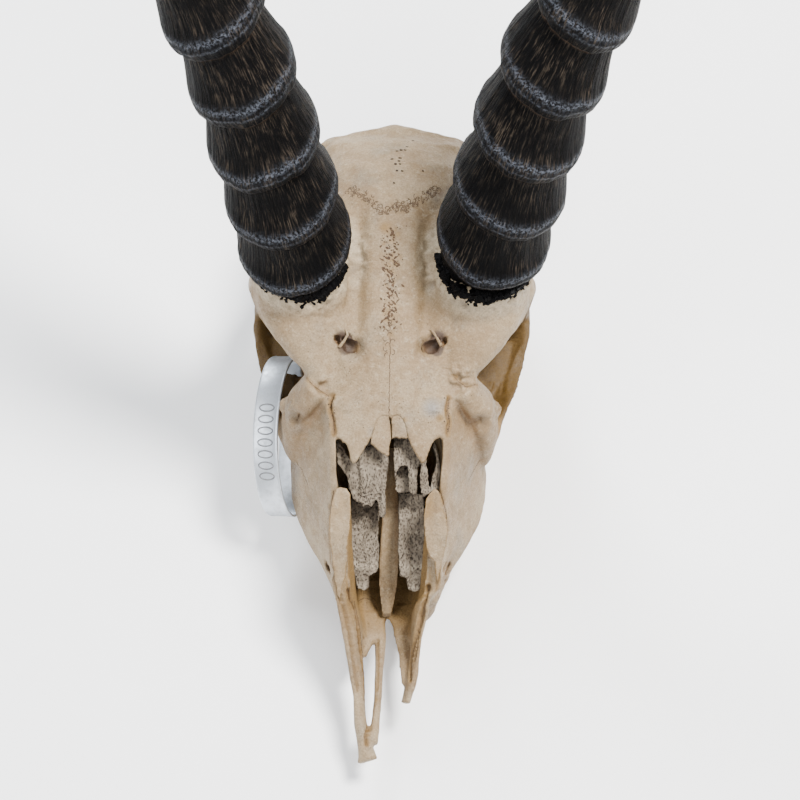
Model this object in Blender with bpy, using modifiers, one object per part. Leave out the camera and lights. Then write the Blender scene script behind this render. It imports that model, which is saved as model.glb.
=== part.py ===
"""Antelope skull with two ringed, lyre-shaped horns and a metal tag band through one orbit.

The skull lies on its cheek teeth and its two paroccipital processes, nose towards -Y, horns up and
back. Lengths are in millimetres until place() scales a finished piece to metres. +X is the viewer's
right when the nose points at them, so the animal's own left side is at +X.
"""

import math

import bmesh
import bpy
from mathutils import Matrix, Vector

MM = 0.001
GAP = 0.3
SIDES = ((-1, "right"), (1, "left"))

# Driving dimensions of the skull, in millimetres.
VOXEL = 1.2
SKULL_TRIANGLES = 5600
ORBIT_CENTRE = Vector((54, -17, 70.5))
ORBIT_RADII = (36, 23.5, 19.5)
HORN_BASE = Vector((37, 1, 109.7))
HORN_BASE_LEAN = 6.0
CHAMBER_BACK = -52.0

# Driving dimensions of the horns.
HORN_PATH = (
    HORN_BASE,
    Vector((44.4, 10, 148)),
    Vector((58.3, 30.5, 194.4)),
    Vector((80, 56, 240)),
    Vector((112, 95, 290)),
    Vector((137, 133, 345)),
    Vector((143, 160, 405)),
    Vector((134, 175, 462)),
    Vector((120, 182, 508)),
)
HORN_RADIUS = 18.1
HORN_TIP_RADIUS = 2.2
RING_FIRST = {-1: 12.0, 1: 18.0}
RING_PITCHES = (25, 26, 27.5, 29, 28, 27, 26, 25, 24, 23, 22, 21, 20, 19)
RING_HEIGHT = 4.7
RING_TILT = 7.5
HORN_SEGMENTS = 14


def clear_scene():
    for old in list(bpy.data.objects):
        bpy.data.objects.remove(old)


def collection(name, hidden=False):
    made = bpy.data.collections.new(name)
    bpy.context.scene.collection.children.link(made)
    made.hide_render = hidden
    return made


def material(name, colour, roughness, metallic=0.0):
    made = bpy.data.materials.new(name)
    made.use_nodes = True
    shader = made.node_tree.nodes["Principled BSDF"]
    shader.inputs["Base Color"].default_value = (*colour, 1.0)
    shader.inputs["Roughness"].default_value = roughness
    shader.inputs["Metallic"].default_value = metallic
    return made


def mesh_object(name, bm):
    """A new object in the working scene from a bmesh, which is freed."""
    mesh = bpy.data.meshes.new(name)
    bm.to_mesh(mesh)
    bm.free()
    made = bpy.data.objects.new(name, mesh)
    bpy.context.scene.collection.objects.link(made)
    return made


def apply_modifiers(obj):
    """Bakes the modifiers of an object into its mesh."""
    graph = bpy.context.evaluated_depsgraph_get()
    baked = bpy.data.meshes.new_from_object(obj.evaluated_get(graph))
    obj.modifiers.clear()
    obj.data = baked
    return obj


def blob(bm, centre, radii, turn=(0, 0, 0), detail=16):
    """Adds an ellipsoid, turned by three angles in degrees."""
    spin = Matrix.Rotation(math.radians(turn[2]), 4, "Z")
    spin = spin @ Matrix.Rotation(math.radians(turn[1]), 4, "Y")
    spin = spin @ Matrix.Rotation(math.radians(turn[0]), 4, "X")
    shape = Matrix.Translation(centre) @ spin @ Matrix.Diagonal((*radii, 1))
    bmesh.ops.create_uvsphere(bm, u_segments=detail, v_segments=detail // 2, radius=1, matrix=shape)


def loft(bm, rings):
    """Joins closed rings of equal length into one capped body with its faces pointing out."""
    loops = [[bm.verts.new(point) for point in ring] for ring in rings]
    faces = []
    for first, second in zip(loops, loops[1:]):
        for i, corner in enumerate(first):
            j = (i + 1) % len(first)
            faces.append(bm.faces.new((corner, first[j], second[j], second[i])))
    faces.append(bm.faces.new(list(reversed(loops[0]))))
    faces.append(bm.faces.new(loops[-1]))
    bmesh.ops.recalc_face_normals(bm, faces=faces)


def dome_ring(y, half_width, z_low, z_high, droop=0.0, power=2.3, count=28):
    """A superellipse across the skull whose edges hang by droop."""
    ring = []
    for i in range(count):
        turn = 2 * math.pi * i / count
        c, s = math.cos(turn), math.sin(turn)
        across = math.copysign(abs(c) ** (2 / power), c)
        up = math.copysign(abs(s) ** (2 / power), s)
        middle, half = (z_low + z_high) / 2, (z_high - z_low) / 2
        ring.append(Vector((half_width * across, y, middle + half * up - droop * across**2)))
    return ring


def muzzle_ring(y, low, cheek, brow, bridge):
    """A section of the upper jaw from four (half width, height) pairs, bottom to top."""
    half = (
        (0, low[1]),
        (low[0] * 0.8, low[1]),
        (low[0], low[1] + 3),
        (low[0] * 0.4 + cheek[0] * 0.6, low[1] * 0.4 + cheek[1] * 0.6),
        cheek,
        (cheek[0] * 0.5 + brow[0] * 0.5, cheek[1] * 0.5 + brow[1] * 0.5),
        brow,
        (bridge[0], bridge[1] - 3),
        (bridge[0] * 0.75, bridge[1]),
        (0, bridge[1]),
    )
    ring = [Vector((x, y, z)) for x, z in half]
    ring += [Vector((-x, y, z)) for x, z in reversed(half[1:-1])]
    return ring


def limb(bm, stations, wide, side=1, count=10):
    """Adds a bar through stations of (point, half width, half thickness). Its width follows wide."""
    points = [Vector((side * p[0], p[1], p[2])) for p, _, _ in stations]
    rings = []
    for i, (_, half_width, half_thick) in enumerate(stations):
        ahead = points[min(i + 1, len(points) - 1)] - points[max(i - 1, 0)]
        ahead.normalize()
        across = Vector((side * wide[0], wide[1], wide[2]))
        across = (across - across.dot(ahead) * ahead).normalized()
        thick = ahead.cross(across)
        rings.append(
            [
                points[i]
                + across * half_width * math.cos(2 * math.pi * k / count)
                + thick * half_thick * math.sin(2 * math.pi * k / count)
                for k in range(count)
            ]
        )
    loft(bm, rings)


def remesh(obj, voxel, smoothing):
    """Fuses all that overlaps in one object into a single skin and relaxes it."""
    fuse = obj.modifiers.new("Fuse", "REMESH")
    fuse.mode = "VOXEL"
    fuse.voxel_size = voxel
    relax = obj.modifiers.new("Relax", "SMOOTH")
    relax.factor = 0.5
    relax.iterations = smoothing
    return apply_modifiers(obj)


def boolean(target, operation, other):
    """One Boolean step whose second object is then removed."""
    step = target.modifiers.new(operation, "BOOLEAN")
    step.operation = operation
    step.solver = "MANIFOLD"
    step.object = other
    apply_modifiers(target)
    bpy.data.objects.remove(other)
    return target


def largest_body(obj):
    """Keeps only the largest closed surface of an object."""
    bm = bmesh.new()
    bm.from_mesh(obj.data)
    bm.faces.ensure_lookup_table()
    seen, groups = set(), []
    for start in bm.faces:
        if start in seen:
            continue
        group, front = {start}, [start]
        while front:
            for edge in front.pop().edges:
                for face in edge.link_faces:
                    if face not in group:
                        group.add(face)
                        front.append(face)
        seen |= group
        groups.append(group)
    keep = max(groups, key=lambda group: sum(face.calc_area() for face in group))
    bmesh.ops.delete(bm, geom=[face for face in bm.faces if face not in keep], context="FACES")
    bm.to_mesh(obj.data)
    bm.free()
    return obj


def block(low, high):
    """A box cutter between two corners."""
    bm = bmesh.new()
    bmesh.ops.create_cube(bm, size=1)
    size = Vector(high) - Vector(low)
    middle = (Vector(high) + Vector(low)) / 2
    bmesh.ops.transform(bm, matrix=Matrix.Translation(middle) @ Matrix.Diagonal((*size, 1)), verts=bm.verts)
    return mesh_object("block", bm)


def side_prism(outline, x_low, x_high):
    """A cutter from an outline of (y, z) points, swept across the skull from x_low to x_high."""
    bm = bmesh.new()
    loft(bm, [[Vector((x, y, z)) for y, z in outline] for x in (x_low, x_high)])
    return mesh_object("prism", bm)


# Bone clay: overlapping bodies that are fused into one skin.


def add_braincase(bm):
    stations = (
        (-30, 24, 50, 98),
        (-10, 30, 40, 106),
        (10, 34, 30, 112),
        (30, 36, 24, 113),
        (50, 38, 20, 109.5),
        (66, 38.5, 18, 102),
        (76, 36.5, 18, 94),
        (83, 28, 20, 82),
        (88, 15, 24, 62),
    )
    loft(bm, [dome_ring(y, w, low, high, power=2.5) for y, w, low, high in stations])


def add_frontal_shield(bm):
    stations = (
        (-54, 25, 84, 89.8, 3),
        (-48, 28, 83, 92.3, 4),
        (-40, 32, 80, 95.5, 6),
        (-34, 36, 79, 98, 7),
        (-22, 48, 84, 102.5, 7),
        (-10, 55, 88, 107, 7),
        (-2, 58.5, 91, 109.5, 8),
        (7, 58, 91, 112, 10),
        (16, 50, 90, 113, 12),
        (26, 39, 80, 113, 8),
    )
    loft(bm, [dome_ring(y, w, low, high, droop) for y, w, low, high, droop in stations])


def add_horn_pedicle(bm, side):
    axis = HORN_PATH[1] - HORN_PATH[0]
    root = HORN_BASE - axis.normalized() * 26
    top = HORN_BASE + axis.normalized() * 8
    limb(bm, ((root, 24, 24), (HORN_BASE, 19.5, 20), (top, 17, 17)), (1, 0, 0), side, 20)
    brow = (
        ((39, -4, 97), 17, 11),
        ((35.5, -17, 95.5), 15.5, 9.5),
        ((31.5, -29, 92), 11, 7),
        ((28, -38, 89.5), 6.5, 4.5),
        ((26.5, -43.5, 88), 3.2, 3),
    )
    limb(bm, brow, (1, 0, 0), side, 20)


def add_orbit_frame(bm, side):
    """The ring of bone round one eye and the arch behind it."""
    postorbital = (
        ((54, 2, 92), 6, 3.5),
        ((57, 9, 79), 5.5, 2.8),
        ((56.5, 13, 67), 6, 2.8),
        ((54, 14, 54), 8, 3),
    )
    limb(bm, postorbital, (0, 1, 0), side)
    front = (((35, -52, 47), 12, 7), ((40, -42, 45), 12, 5))
    middle = (((45, -28, 43.5), 12, 3.4), ((49.5, -12, 45), 11, 3), ((53, 4, 48), 9, 2.8))
    rear = (((54, 20, 51), 6, 3), ((50.5, 36, 51), 5, 3.5), ((42, 50, 48), 6, 6), ((33, 58, 46), 6, 7))
    limb(bm, front + middle + rear, (0.55, 0, 0.83), side, 12)
    lacrimal = (
        ((29, -43, 88), 8, 5),
        ((36.5, -46, 76), 9, 5.5),
        ((38.5, -47, 62), 11, 6),
        ((38, -48, 48), 12, 6),
    )
    limb(bm, lacrimal, (0, 1, 0), side)
    blob(bm, (side * 41.5, -43, 69), (4, 3.5, 3.5))
    blob(bm, (side * 37, -36, 40), (10, 11, 9))
    floor = (((32, -42, 46), 12, 5), ((37, -26, 48), 11, 4), ((40, -12, 49), 11, 3.5), ((45, 2, 50), 9, 3))
    limb(bm, floor, (1, 0, -0.15), side)


def add_skull_base(bm, side):
    """Ear region, condyle, bulla, paroccipital process and pterygoid wing of one side."""
    blob(bm, (side * 35, 56, 42), (10, 16, 16))
    blob(bm, (side * 12.5, 85, 27), (8.5, 10, 13), (-20, 0, side * 20))
    blob(bm, (side * 20, 46, 17), (8.5, 14, 10.5), (0, 0, side * -12))
    process = (
        ((29, 66, 44), 8, 6),
        ((27.5, 69, 24), 6.5, 4.5),
        ((25.5, 68, 8), 5, 3.6),
        ((24.5, 66, -2), 4.2, 3.4),
    )
    limb(bm, process, (0.3, 1, 0), side)
    wing = (((15, -16, 24), 9, 3.5), ((14, 2, 23), 11, 2.6), ((13, 18, 24), 11, 2.4), ((12, 30, 27), 8, 3))
    limb(bm, wing, (0, 0, 1), side)


def add_nuchal_crest(bm):
    crest = (
        ((-34, 61, 68), 5, 4),
        ((-28, 68, 80), 5, 4),
        ((-16, 73, 89), 5.5, 4.5),
        ((0, 75, 91.5), 6, 5),
        ((16, 73, 89), 5.5, 4.5),
        ((28, 68, 80), 5, 4),
        ((34, 61, 68), 5, 4),
    )
    limb(bm, crest, (0, 1, 0.4))
    blob(bm, (0, 58, 23), (13, 32, 9))


def add_muzzle(bm):
    stations = (
        (-4, (26, 18), (27, 30), (24, 46), (20, 85)),
        (-16, (30, 12), (33, 30), (30, 50), (22, 88)),
        (-30, (31, 11), (36, 33), (35, 58), (25, 89)),
        (-42, (31, 11), (40.5, 36), (38.5, 66), (29, 87)),
        (-55, (30, 11), (41, 34), (35.5, 66), (24, 88.5)),
        (-66, (28.5, 11), (40.5, 32), (33, 60), (23.6, 83.5)),
        (-76, (26.5, 11.5), (38, 31), (31, 54), (23.6, 78)),
        (-86, (24, 12), (33.5, 30), (28, 50), (22.4, 71)),
        (-96, (21, 13), (27.5, 30), (24.5, 46), (20, 64)),
        (-106, (18, 13.5), (22.5, 28), (21.5, 42), (19, 55)),
        (-116, (16, 13.5), (19, 24), (18.6, 34), (17.3, 43)),
        (-124, (14.5, 13.5), (16, 20), (15.8, 27), (15.3, 33)),
    )
    loft(bm, [muzzle_ring(*station) for station in stations])


def premaxilla(side, broken):
    """The long outer bar with its ascending process, and the thin palatine bar unless it is broken."""
    outer = [
        ((18.2, -86, 66.5), 4.5, 1.8),
        ((18.2, -94, 61), 5.5, 2),
        ((18, -106, 50), 6.5, 2.1),
        ((16.6, -118, 36), 7.5, 2.2),
    ]
    if broken:
        outer += [((13.4, -132, 26), 6, 2.3), ((9.2, -146, 20.5), 4.5, 2.2), ((7.6, -152, 18.5), 3, 1.8)]
        floor = (((8.5, -112, 17.5), 6, 2), ((9.5, -124, 18.5), 5, 1.9), ((9.5, -136, 20), 2.5, 1.8))
    else:
        outer += [((14.6, -133, 25), 6.5, 2.4), ((12.2, -149, 19.5), 5, 2.5)]
        outer += [((9.6, -162, 16.5), 4, 2.8), ((7.2, -171, 15), 3, 3.6), ((6.4, -175, 14.4), 2.4, 3.6)]
        floor = (((8.5, -112, 17.5), 7, 2), ((9, -122, 18.5), 5.5, 1.9), ((11.5, -132, 20), 2.5, 1.8))
    bm = bmesh.new()
    limb(bm, outer, (0.45, 0.2, 1), side)
    bars = [mesh_object("bar", bm)]
    bm = bmesh.new()
    limb(bm, floor, (1, 0, 0), side)
    bars.append(mesh_object("floor", bm))
    if not broken:
        inner = (
            ((2.6, -104, 17), 2.2, 2.4),
            ((2.5, -126, 17), 2, 2.6),
            ((3, -148, 15.5), 1.9, 2.4),
            ((4.4, -168, 14.5), 2.2, 2.2),
        )
        bm = bmesh.new()
        limb(bm, inner, (1, 0, 0), side)
        bars.append(mesh_object("palatine bar", bm))
    return bars


FRONTAL_EDGE = {
    # (distance from the midline, y) round the plate; the last two points are the stub of the nasal bone
    1: (
        *((0.2, -48), (23.6, -48), (23.6, -60), (22.3, -65), (18, -67), (16.2, -69.5)),
        *((13.6, -74.5), (10.5, -70), (7.8, -66), (3, -65), (0.2, -67)),
    ),
    -1: (
        *((0.2, -48), (23.4, -48), (23, -59), (21.5, -65.5), (17.5, -67.5), (15.6, -71)),
        *((14.2, -74.7), (11, -71.5), (7.6, -66.8), (5.5, -68.5), (0.2, -71.5)),
    ),
}
FRONTAL_PLATE = 2.6


def plate_height(x, y):
    """Height of the frontal's outer face over the nasal chamber."""
    return 89.4 + (y + 54) * 0.47 - 3.2 * (x / 25) ** 2


def frontal_plate(side):
    """The thin front part of the frontal over the nasal chamber, ending in one long point."""
    bm = bmesh.new()
    corners = FRONTAL_EDGE[side]
    rings = [
        [Vector((side * x, y, plate_height(x, y) + lift)) for x, y in corners]
        for lift in (0, -FRONTAL_PLATE)
    ]
    loft(bm, rings)
    return mesh_object("frontal plate", bm)


TEETH = (
    # length along the jaw, half width, lobes
    (8.5, 4.2, 1),
    (9.5, 5.2, 1),
    (10.0, 6.0, 1),
    (13.5, 6.8, 2),
    (15.0, 7.2, 2),
    (15.5, 6.8, 2),
)
TOOTH_ROW_FRONT = -86.0
TOOTH_SIDES = 8


def rounded(part_of_circle):
    """Pushes a cosine or sine outward, towards the corners of a box."""
    return math.copysign(abs(part_of_circle) ** 0.7, part_of_circle)


def tooth_lobes(side):
    """Three premolars of one lobe and three molars of two, crowns down to the floor."""
    lobes_made = []
    y = TOOTH_ROW_FRONT
    for length, half_width, lobes in TEETH:
        for lobe in range(lobes):
            centre = y + length * (lobe + 0.5) / lobes
            x = side * (20.5 + 8.0 * min(1, (centre - TOOTH_ROW_FRONT) / 55) ** 0.8)
            half_length = length / lobes * 0.54
            rings = []
            for z, swell in ((-1, 0.9), (6, 1.0), (18, 0.97)):
                ring = []
                for k in range(TOOTH_SIDES):
                    turn = 2 * math.pi * (k + 0.5) / TOOTH_SIDES
                    across = half_width * swell * rounded(math.cos(turn))
                    along = half_length * swell * rounded(math.sin(turn))
                    ring.append(Vector((x + across, centre + along, z)))
                rings.append(ring)
            bm = bmesh.new()
            loft(bm, rings)
            lobes_made.append(mesh_object("tooth", bm))
        y += length
    return lobes_made


# Cutters: the hollows of the skull.


def orbit_cutter(side):
    bm = bmesh.new()
    centre = (side * ORBIT_CENTRE.x, ORBIT_CENTRE.y, ORBIT_CENTRE.z)
    blob(bm, centre, ORBIT_RADII, (0, side * -4, side * 6), 32)
    return mesh_object("orbit", bm)


def nasal_cutter():
    """The nasal chamber, roofed only by the frontals, with its floor above the palate."""
    stations = (
        (CHAMBER_BACK, (14, 22), (17, 45), (17, 66), (17, 82)),
        (-60, (14.5, 20), (19, 45), (20, 66), (21.5, 100)),
        (-66, (15, 20), (20, 45), (21.5, 66), (21.5, 110)),
        (-84, (14.5, 19), (18, 45), (20, 66), (21, 110)),
        (-88, (14, 19), (16.5, 45), (16, 60), (16, 110)),
        (-104, (12.5, 19), (15, 35), (15.5, 50), (16, 100)),
        (-118, (11.5, 19.3), (14, 28), (14.6, 38), (15, 90)),
        (-140, (10, 20), (13, 25), (13.5, 34), (14, 80)),
    )
    bm = bmesh.new()
    loft(bm, [muzzle_ring(*station) for station in stations])
    return mesh_object("nasal", bm)


def foramen_cutters():
    """The foramen magnum, the two supraorbital pits and the two infraorbital holes."""
    bm = bmesh.new()
    blob(bm, (0, 88, 40), (10, 18, 11))
    for side, _ in SIDES:
        blob(bm, (side * 17.5, -31, 100), (3, 4, 7), (35, 0, 0))
        blob(bm, (side * 24, -99.5, 36), (4, 2.6, 2.4), (0, 0, side * 25))
        blob(bm, (side * 41, 50, 38), (6, 3, 3))
    return mesh_object("foramina", bm)


def build_skull():
    """All the fused bone as one closed body, before it is parted."""
    clay = bmesh.new()
    add_braincase(clay)
    add_frontal_shield(clay)
    add_nuchal_crest(clay)
    add_muzzle(clay)
    for side, _ in SIDES:
        add_horn_pedicle(clay, side)
        add_orbit_frame(clay, side)
        add_skull_base(clay, side)
    skull = remesh(mesh_object("skull", clay), VOXEL, 3)
    for side, _ in SIDES:
        boolean(skull, "DIFFERENCE", orbit_cutter(side))
        boolean(skull, "DIFFERENCE", horn_seat(side))
    boolean(skull, "DIFFERENCE", nasal_cutter())
    boolean(skull, "DIFFERENCE", foramen_cutters())
    thinner = skull.modifiers.new("Fewer faces", "DECIMATE")
    thinner.ratio = SKULL_TRIANGLES / (2 * len(skull.data.polygons))
    thinner.use_collapse_triangulate = True
    apply_modifiers(skull)
    for side, _ in SIDES:
        boolean(skull, "UNION", frontal_plate(side))
        for piece in premaxilla(side, broken=side > 0) + tooth_lobes(side):
            boolean(skull, "UNION", piece)
    boolean(skull, "DIFFERENCE", block((-80, -220, -20), (80, 120, 0)))
    return largest_body(skull)


# Loose bones inside the nose, each rooted in a socket in the chamber's back wall.


def turbinate(side, grow):
    """The upper and lower scrolls of one side as one body. grow widens it for cutting its socket."""
    upper = (
        ((9, CHAMBER_BACK + 4 + grow, 70), 5.4, 7),
        ((9, -58, 70), 5.8, 7.5),
        ((8.8, -70, 67), 5.8, 7),
        ((8.6, -80, 63), 5.5, 6),
        ((8.6, -88, 59.5), 4.5, 4.5),
    )
    lower = (
        ((9.5, CHAMBER_BACK + 4 + grow, 50), 6, 8),
        ((9.6, -62, 51), 6.4, 9),
        ((9.4, -76, 50), 6.4, 9.5),
        ((9.2, -90, 46), 6.2, 9),
        ((9, -102, 40), 5.8, 8),
        ((8.6, -110, 36), 4.4, 6),
        ((8.2, -114, 33), 2.6, 3.4),
    )
    made = None
    for stations in (upper, lower):
        bm = bmesh.new()
        limb(bm, [(p, w + grow, h + grow) for p, w, h in stations], (1, 0, 0), side, 12)
        part = mesh_object("scroll", bm)
        made = boolean(made, "UNION", part) if made else part
    return made


def vomer(grow):
    """The thin trough-shaped bone that stands along the middle of the chamber's floor."""
    stations = (
        (CHAMBER_BACK + 4 + grow, 62, 1.2, 1.6),
        (-62, 60, 1.2, 2.0),
        (-80, 52, 1.3, 2.4),
        (-98, 41, 1.4, 2.4),
        (-112, 31, 1.3, 2.0),
        (-121, 25, 0.8, 1.0),
    )
    rings = []
    for y, top, low_half, top_half in stations:
        low = 20 + GAP - grow
        rings.append(
            [
                Vector((low_half + grow, y, low)),
                Vector((low_half + 0.2 + grow, y, (low + top) / 2)),
                Vector((top_half + grow, y, top + grow)),
                Vector((-top_half - grow, y, top + grow)),
                Vector((-low_half - 0.2 - grow, y, (low + top) / 2)),
                Vector((-low_half - grow, y, low)),
            ]
        )
    bm = bmesh.new()
    loft(bm, rings)
    return mesh_object("vomer", bm)


# The metal tag band, a closed loop of strap that hangs round the right cheekbone.

TAG_CENTRE = Vector((-43.6, -42, 41))
TAG_HALF_LENGTH = 33.0
TAG_FRONT_DEPTH = 18.0
TAG_BACK_DEPTH = 6.0
TAG_TILT = 24.0
TAG_WIDTH = 11.5
TAG_THICKNESS = 0.9
TAG_STEPS = 36


def tag_band(grow):
    """An upright strap, bowed in front and nearly flat behind, whose long axis leans back with the face."""
    along = Vector((0, math.cos(math.radians(30)), math.sin(math.radians(30))))
    outward = Vector((0, -math.sin(math.radians(30)), math.cos(math.radians(30))))
    tilt = math.radians(TAG_TILT)
    depth = outward * math.cos(tilt) - Vector((1, 0, 0)) * math.sin(tilt)
    width = along.cross(depth).normalized()
    half_thick, half_wide = TAG_THICKNESS / 2 + grow, TAG_WIDTH / 2 + grow
    bm = bmesh.new()
    loops = []
    for k in range(TAG_STEPS):
        turn = 2 * math.pi * k / TAG_STEPS
        c, s = math.cos(turn), math.sin(turn)
        reach = TAG_FRONT_DEPTH if s > 0 else TAG_BACK_DEPTH
        centre = TAG_CENTRE + along * TAG_HALF_LENGTH * c + depth * reach * s
        out = (along * reach * c + depth * TAG_HALF_LENGTH * s).normalized()
        loops.append(
            [
                bm.verts.new(centre + out * t * half_thick + width * w * half_wide)
                for t, w in ((-1, -1), (1, -1), (1, 1), (-1, 1))
            ]
        )
    for k, first in enumerate(loops):
        second = loops[(k + 1) % TAG_STEPS]
        for i in range(4):
            j = (i + 1) % 4
            bm.faces.new((first[i], first[j], second[j], second[i]))
    bmesh.ops.recalc_face_normals(bm, faces=bm.faces)
    return mesh_object("tag_band", bm)


# Horns.


def base_normal(side):
    lean = math.radians(HORN_BASE_LEAN)
    return Vector((side * 0.08, math.sin(lean), math.cos(lean))).normalized()


def horn_seat(side):
    """Cuts the pedicle off flat under the horn sheath."""
    bm = bmesh.new()
    bmesh.ops.create_cone(bm, cap_ends=True, segments=32, radius1=27, radius2=27, depth=40)
    turn = base_normal(side).to_track_quat("Z", "Y").to_matrix().to_4x4()
    centre = Vector((side * HORN_BASE.x, HORN_BASE.y, HORN_BASE.z)) + base_normal(side) * (20 - GAP)
    bmesh.ops.transform(bm, matrix=Matrix.Translation(centre) @ turn, verts=bm.verts)
    return mesh_object("seat", bm)


def path_points(side, steps=40):
    """The horn's centre line as a smooth curve through HORN_PATH."""
    knots = [Vector((side * p.x, p.y, p.z)) for p in HORN_PATH]
    knots = [knots[0] * 2 - knots[1], *knots, knots[-1] * 2 - knots[-2]]
    points = []
    for a, b, c, d in zip(knots, knots[1:], knots[2:], knots[3:]):
        for k in range(steps):
            t = k / steps
            bend = (2 * a - 5 * b + 4 * c - d) * t**2 + (3 * b - a - 3 * c + d) * t**3
            points.append(0.5 * (2 * b + (c - a) * t + bend))
    points.append(knots[-2])
    return points


def horn_profile(length, first):
    """Stations of (distance from the base, radius, tilt) with one steep-sided crest for each ring."""
    crests, at = [], first
    for pitch in RING_PITCHES:
        crests.append((at, pitch))
        at += pitch

    def core(s):
        share = s / length
        return HORN_RADIUS * (1 - share**1.6) + HORN_TIP_RADIUS * share

    stations = [(0.0, core(0) + 0.6, 0.0), (4.0, core(0) + 0.4, 0.35)]
    for i, (crest, pitch) in enumerate(crests):
        height = RING_HEIGHT * (1 - (i / len(crests)) ** 2) * core(crest) / HORN_RADIUS
        for share, lift in ((-0.18, 0.0), (-0.09, 0.62), (0.08, 1.0), (0.42, 0.72)):
            s = crest + share * pitch
            stations.append((s, core(s) + height * lift, 1.0))
    last = stations[-1][0]
    for k in range(1, 7):
        s = last + (length - last) * k / 7
        stations.append((s, core(s), 1 - k / 7))
    stations.append((length - 1.5, HORN_TIP_RADIUS * 0.8, 0))
    return stations


def horn(name, side):
    points = path_points(side)
    travelled = [0.0]
    for a, b in zip(points, points[1:]):
        travelled.append(travelled[-1] + (b - a).length)
    length = travelled[-1]

    def at(s):
        s = min(max(s, 0), length - 1e-6)
        i = next(k for k in range(len(travelled) - 1) if travelled[k + 1] > s)
        share = (s - travelled[i]) / (travelled[i + 1] - travelled[i])
        return points[i].lerp(points[i + 1], share), (points[i + 1] - points[i]).normalized()

    rings = []
    for s, radius, tilt in horn_profile(length, RING_FIRST[side]):
        centre, ahead = at(s)
        front = Vector((0, -1, 0))
        front = (front - front.dot(ahead) * ahead).normalized()
        across = ahead.cross(front)
        ring = []
        for k in range(HORN_SEGMENTS):
            turn = 2 * math.pi * k / HORN_SEGMENTS
            out = front * math.cos(turn) + across * math.sin(turn)
            slide = -RING_TILT * tilt * math.cos(turn) * radius / HORN_RADIUS
            point = centre + out * radius + ahead * slide
            if s == 0:
                up = base_normal(side)
                point = centre + out * radius
                point -= up * up.dot(point - centre)
            ring.append(point)
        rings.append(ring)
    bm = bmesh.new()
    loft(bm, rings)
    return mesh_object(name, bm)


def clean_copy(source, name):
    made = bpy.data.objects.new(name, source.data.copy())
    bpy.context.scene.collection.objects.link(made)
    return made


# Regions that part the fused skull along its main sutures. grow widens one for cutting its neighbours.


def zygoma_region(side, grow):
    outline = (
        (-37 - grow, 26 - grow),
        (-33 - grow, 62 + grow),
        (10, 66 + grow),
        (33 + grow, 66 + grow),
        (33 + grow, 26 - grow),
    )
    return side_prism(outline, side * (43 - grow), side * 80)


def maxilla_region(side, grow):
    outline = (
        (-160, -5),
        (-160, 105),
        (-50 + grow, 105),
        (-43 + grow, 80),
        (-39 + grow, 60),
        (-22 + grow, 40 + grow),
        (-4 + grow, 34 + grow),
        (-4 + grow, -5),
    )
    inner = GAP / 2 - grow
    region = side_prism(outline, side * inner, side * 80)
    shelf = ((-95, 66 + grow), (-95, 120), (-30, 120), (-30, 74 + grow), (-54, 80 + grow))
    reach = 22.9 - grow
    return boolean(region, "DIFFERENCE", side_prism(shelf, side * -5, side * reach))


def premaxilla_region(side, grow):
    outline = (
        (-200, -5),
        (-200, 100),
        (-87 + grow, 100),
        (-87 + grow, 72),
        (-118 + grow, 14),
        (-118 + grow, -5),
    )
    return side_prism(outline, side * (GAP / 2 - grow), side * 80)


def parted(skull):
    """The skull as separate bones, each cut clear of its neighbours by the gap."""
    pieces = {}
    cranium = clean_copy(skull, "cranium")
    for side, word in SIDES:
        zygoma = clean_copy(skull, f"zygomatic_{word}")
        boolean(zygoma, "INTERSECT", zygoma_region(side, 0))
        premaxilla = clean_copy(skull, f"premaxilla_{word}")
        boolean(premaxilla, "INTERSECT", premaxilla_region(side, 0))
        maxilla = clean_copy(skull, f"maxilla_{word}")
        boolean(maxilla, "INTERSECT", maxilla_region(side, 0))
        boolean(maxilla, "DIFFERENCE", zygoma_region(side, GAP))
        boolean(maxilla, "DIFFERENCE", premaxilla_region(side, GAP))
        boolean(cranium, "DIFFERENCE", maxilla_region(side, GAP))
        boolean(cranium, "DIFFERENCE", zygoma_region(side, GAP))
        boolean(cranium, "DIFFERENCE", premaxilla_region(side, GAP))
        for piece in (zygoma, premaxilla, maxilla):
            pieces[piece.name] = largest_body(piece)
    pieces["cranium"] = largest_body(cranium)
    return pieces


def lowest_middle(pieces):
    """The middle of the underside of the box that holds all the pieces."""
    corners = [vertex.co for piece in pieces for vertex in piece.data.vertices]
    low = Vector([min(corner[i] for corner in corners) for i in range(3)])
    high = Vector([max(corner[i] for corner in corners) for i in range(3)])
    return Vector(((low.x + high.x) / 2, (low.y + high.y) / 2, low.z))


def place(obj, origin, finish, home):
    """Moves a finished piece to the part's origin and collection, in metres, and gives it its material."""
    obj.data.transform(Matrix.Scale(MM, 4) @ Matrix.Translation(-origin))
    obj.data.materials.clear()
    obj.data.materials.append(finish)
    obj.data.shade_smooth()
    obj.data.set_sharp_from_angle(angle=math.radians(50))
    for owner in list(obj.users_collection):
        owner.objects.unlink(obj)
    home.objects.link(obj)


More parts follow.
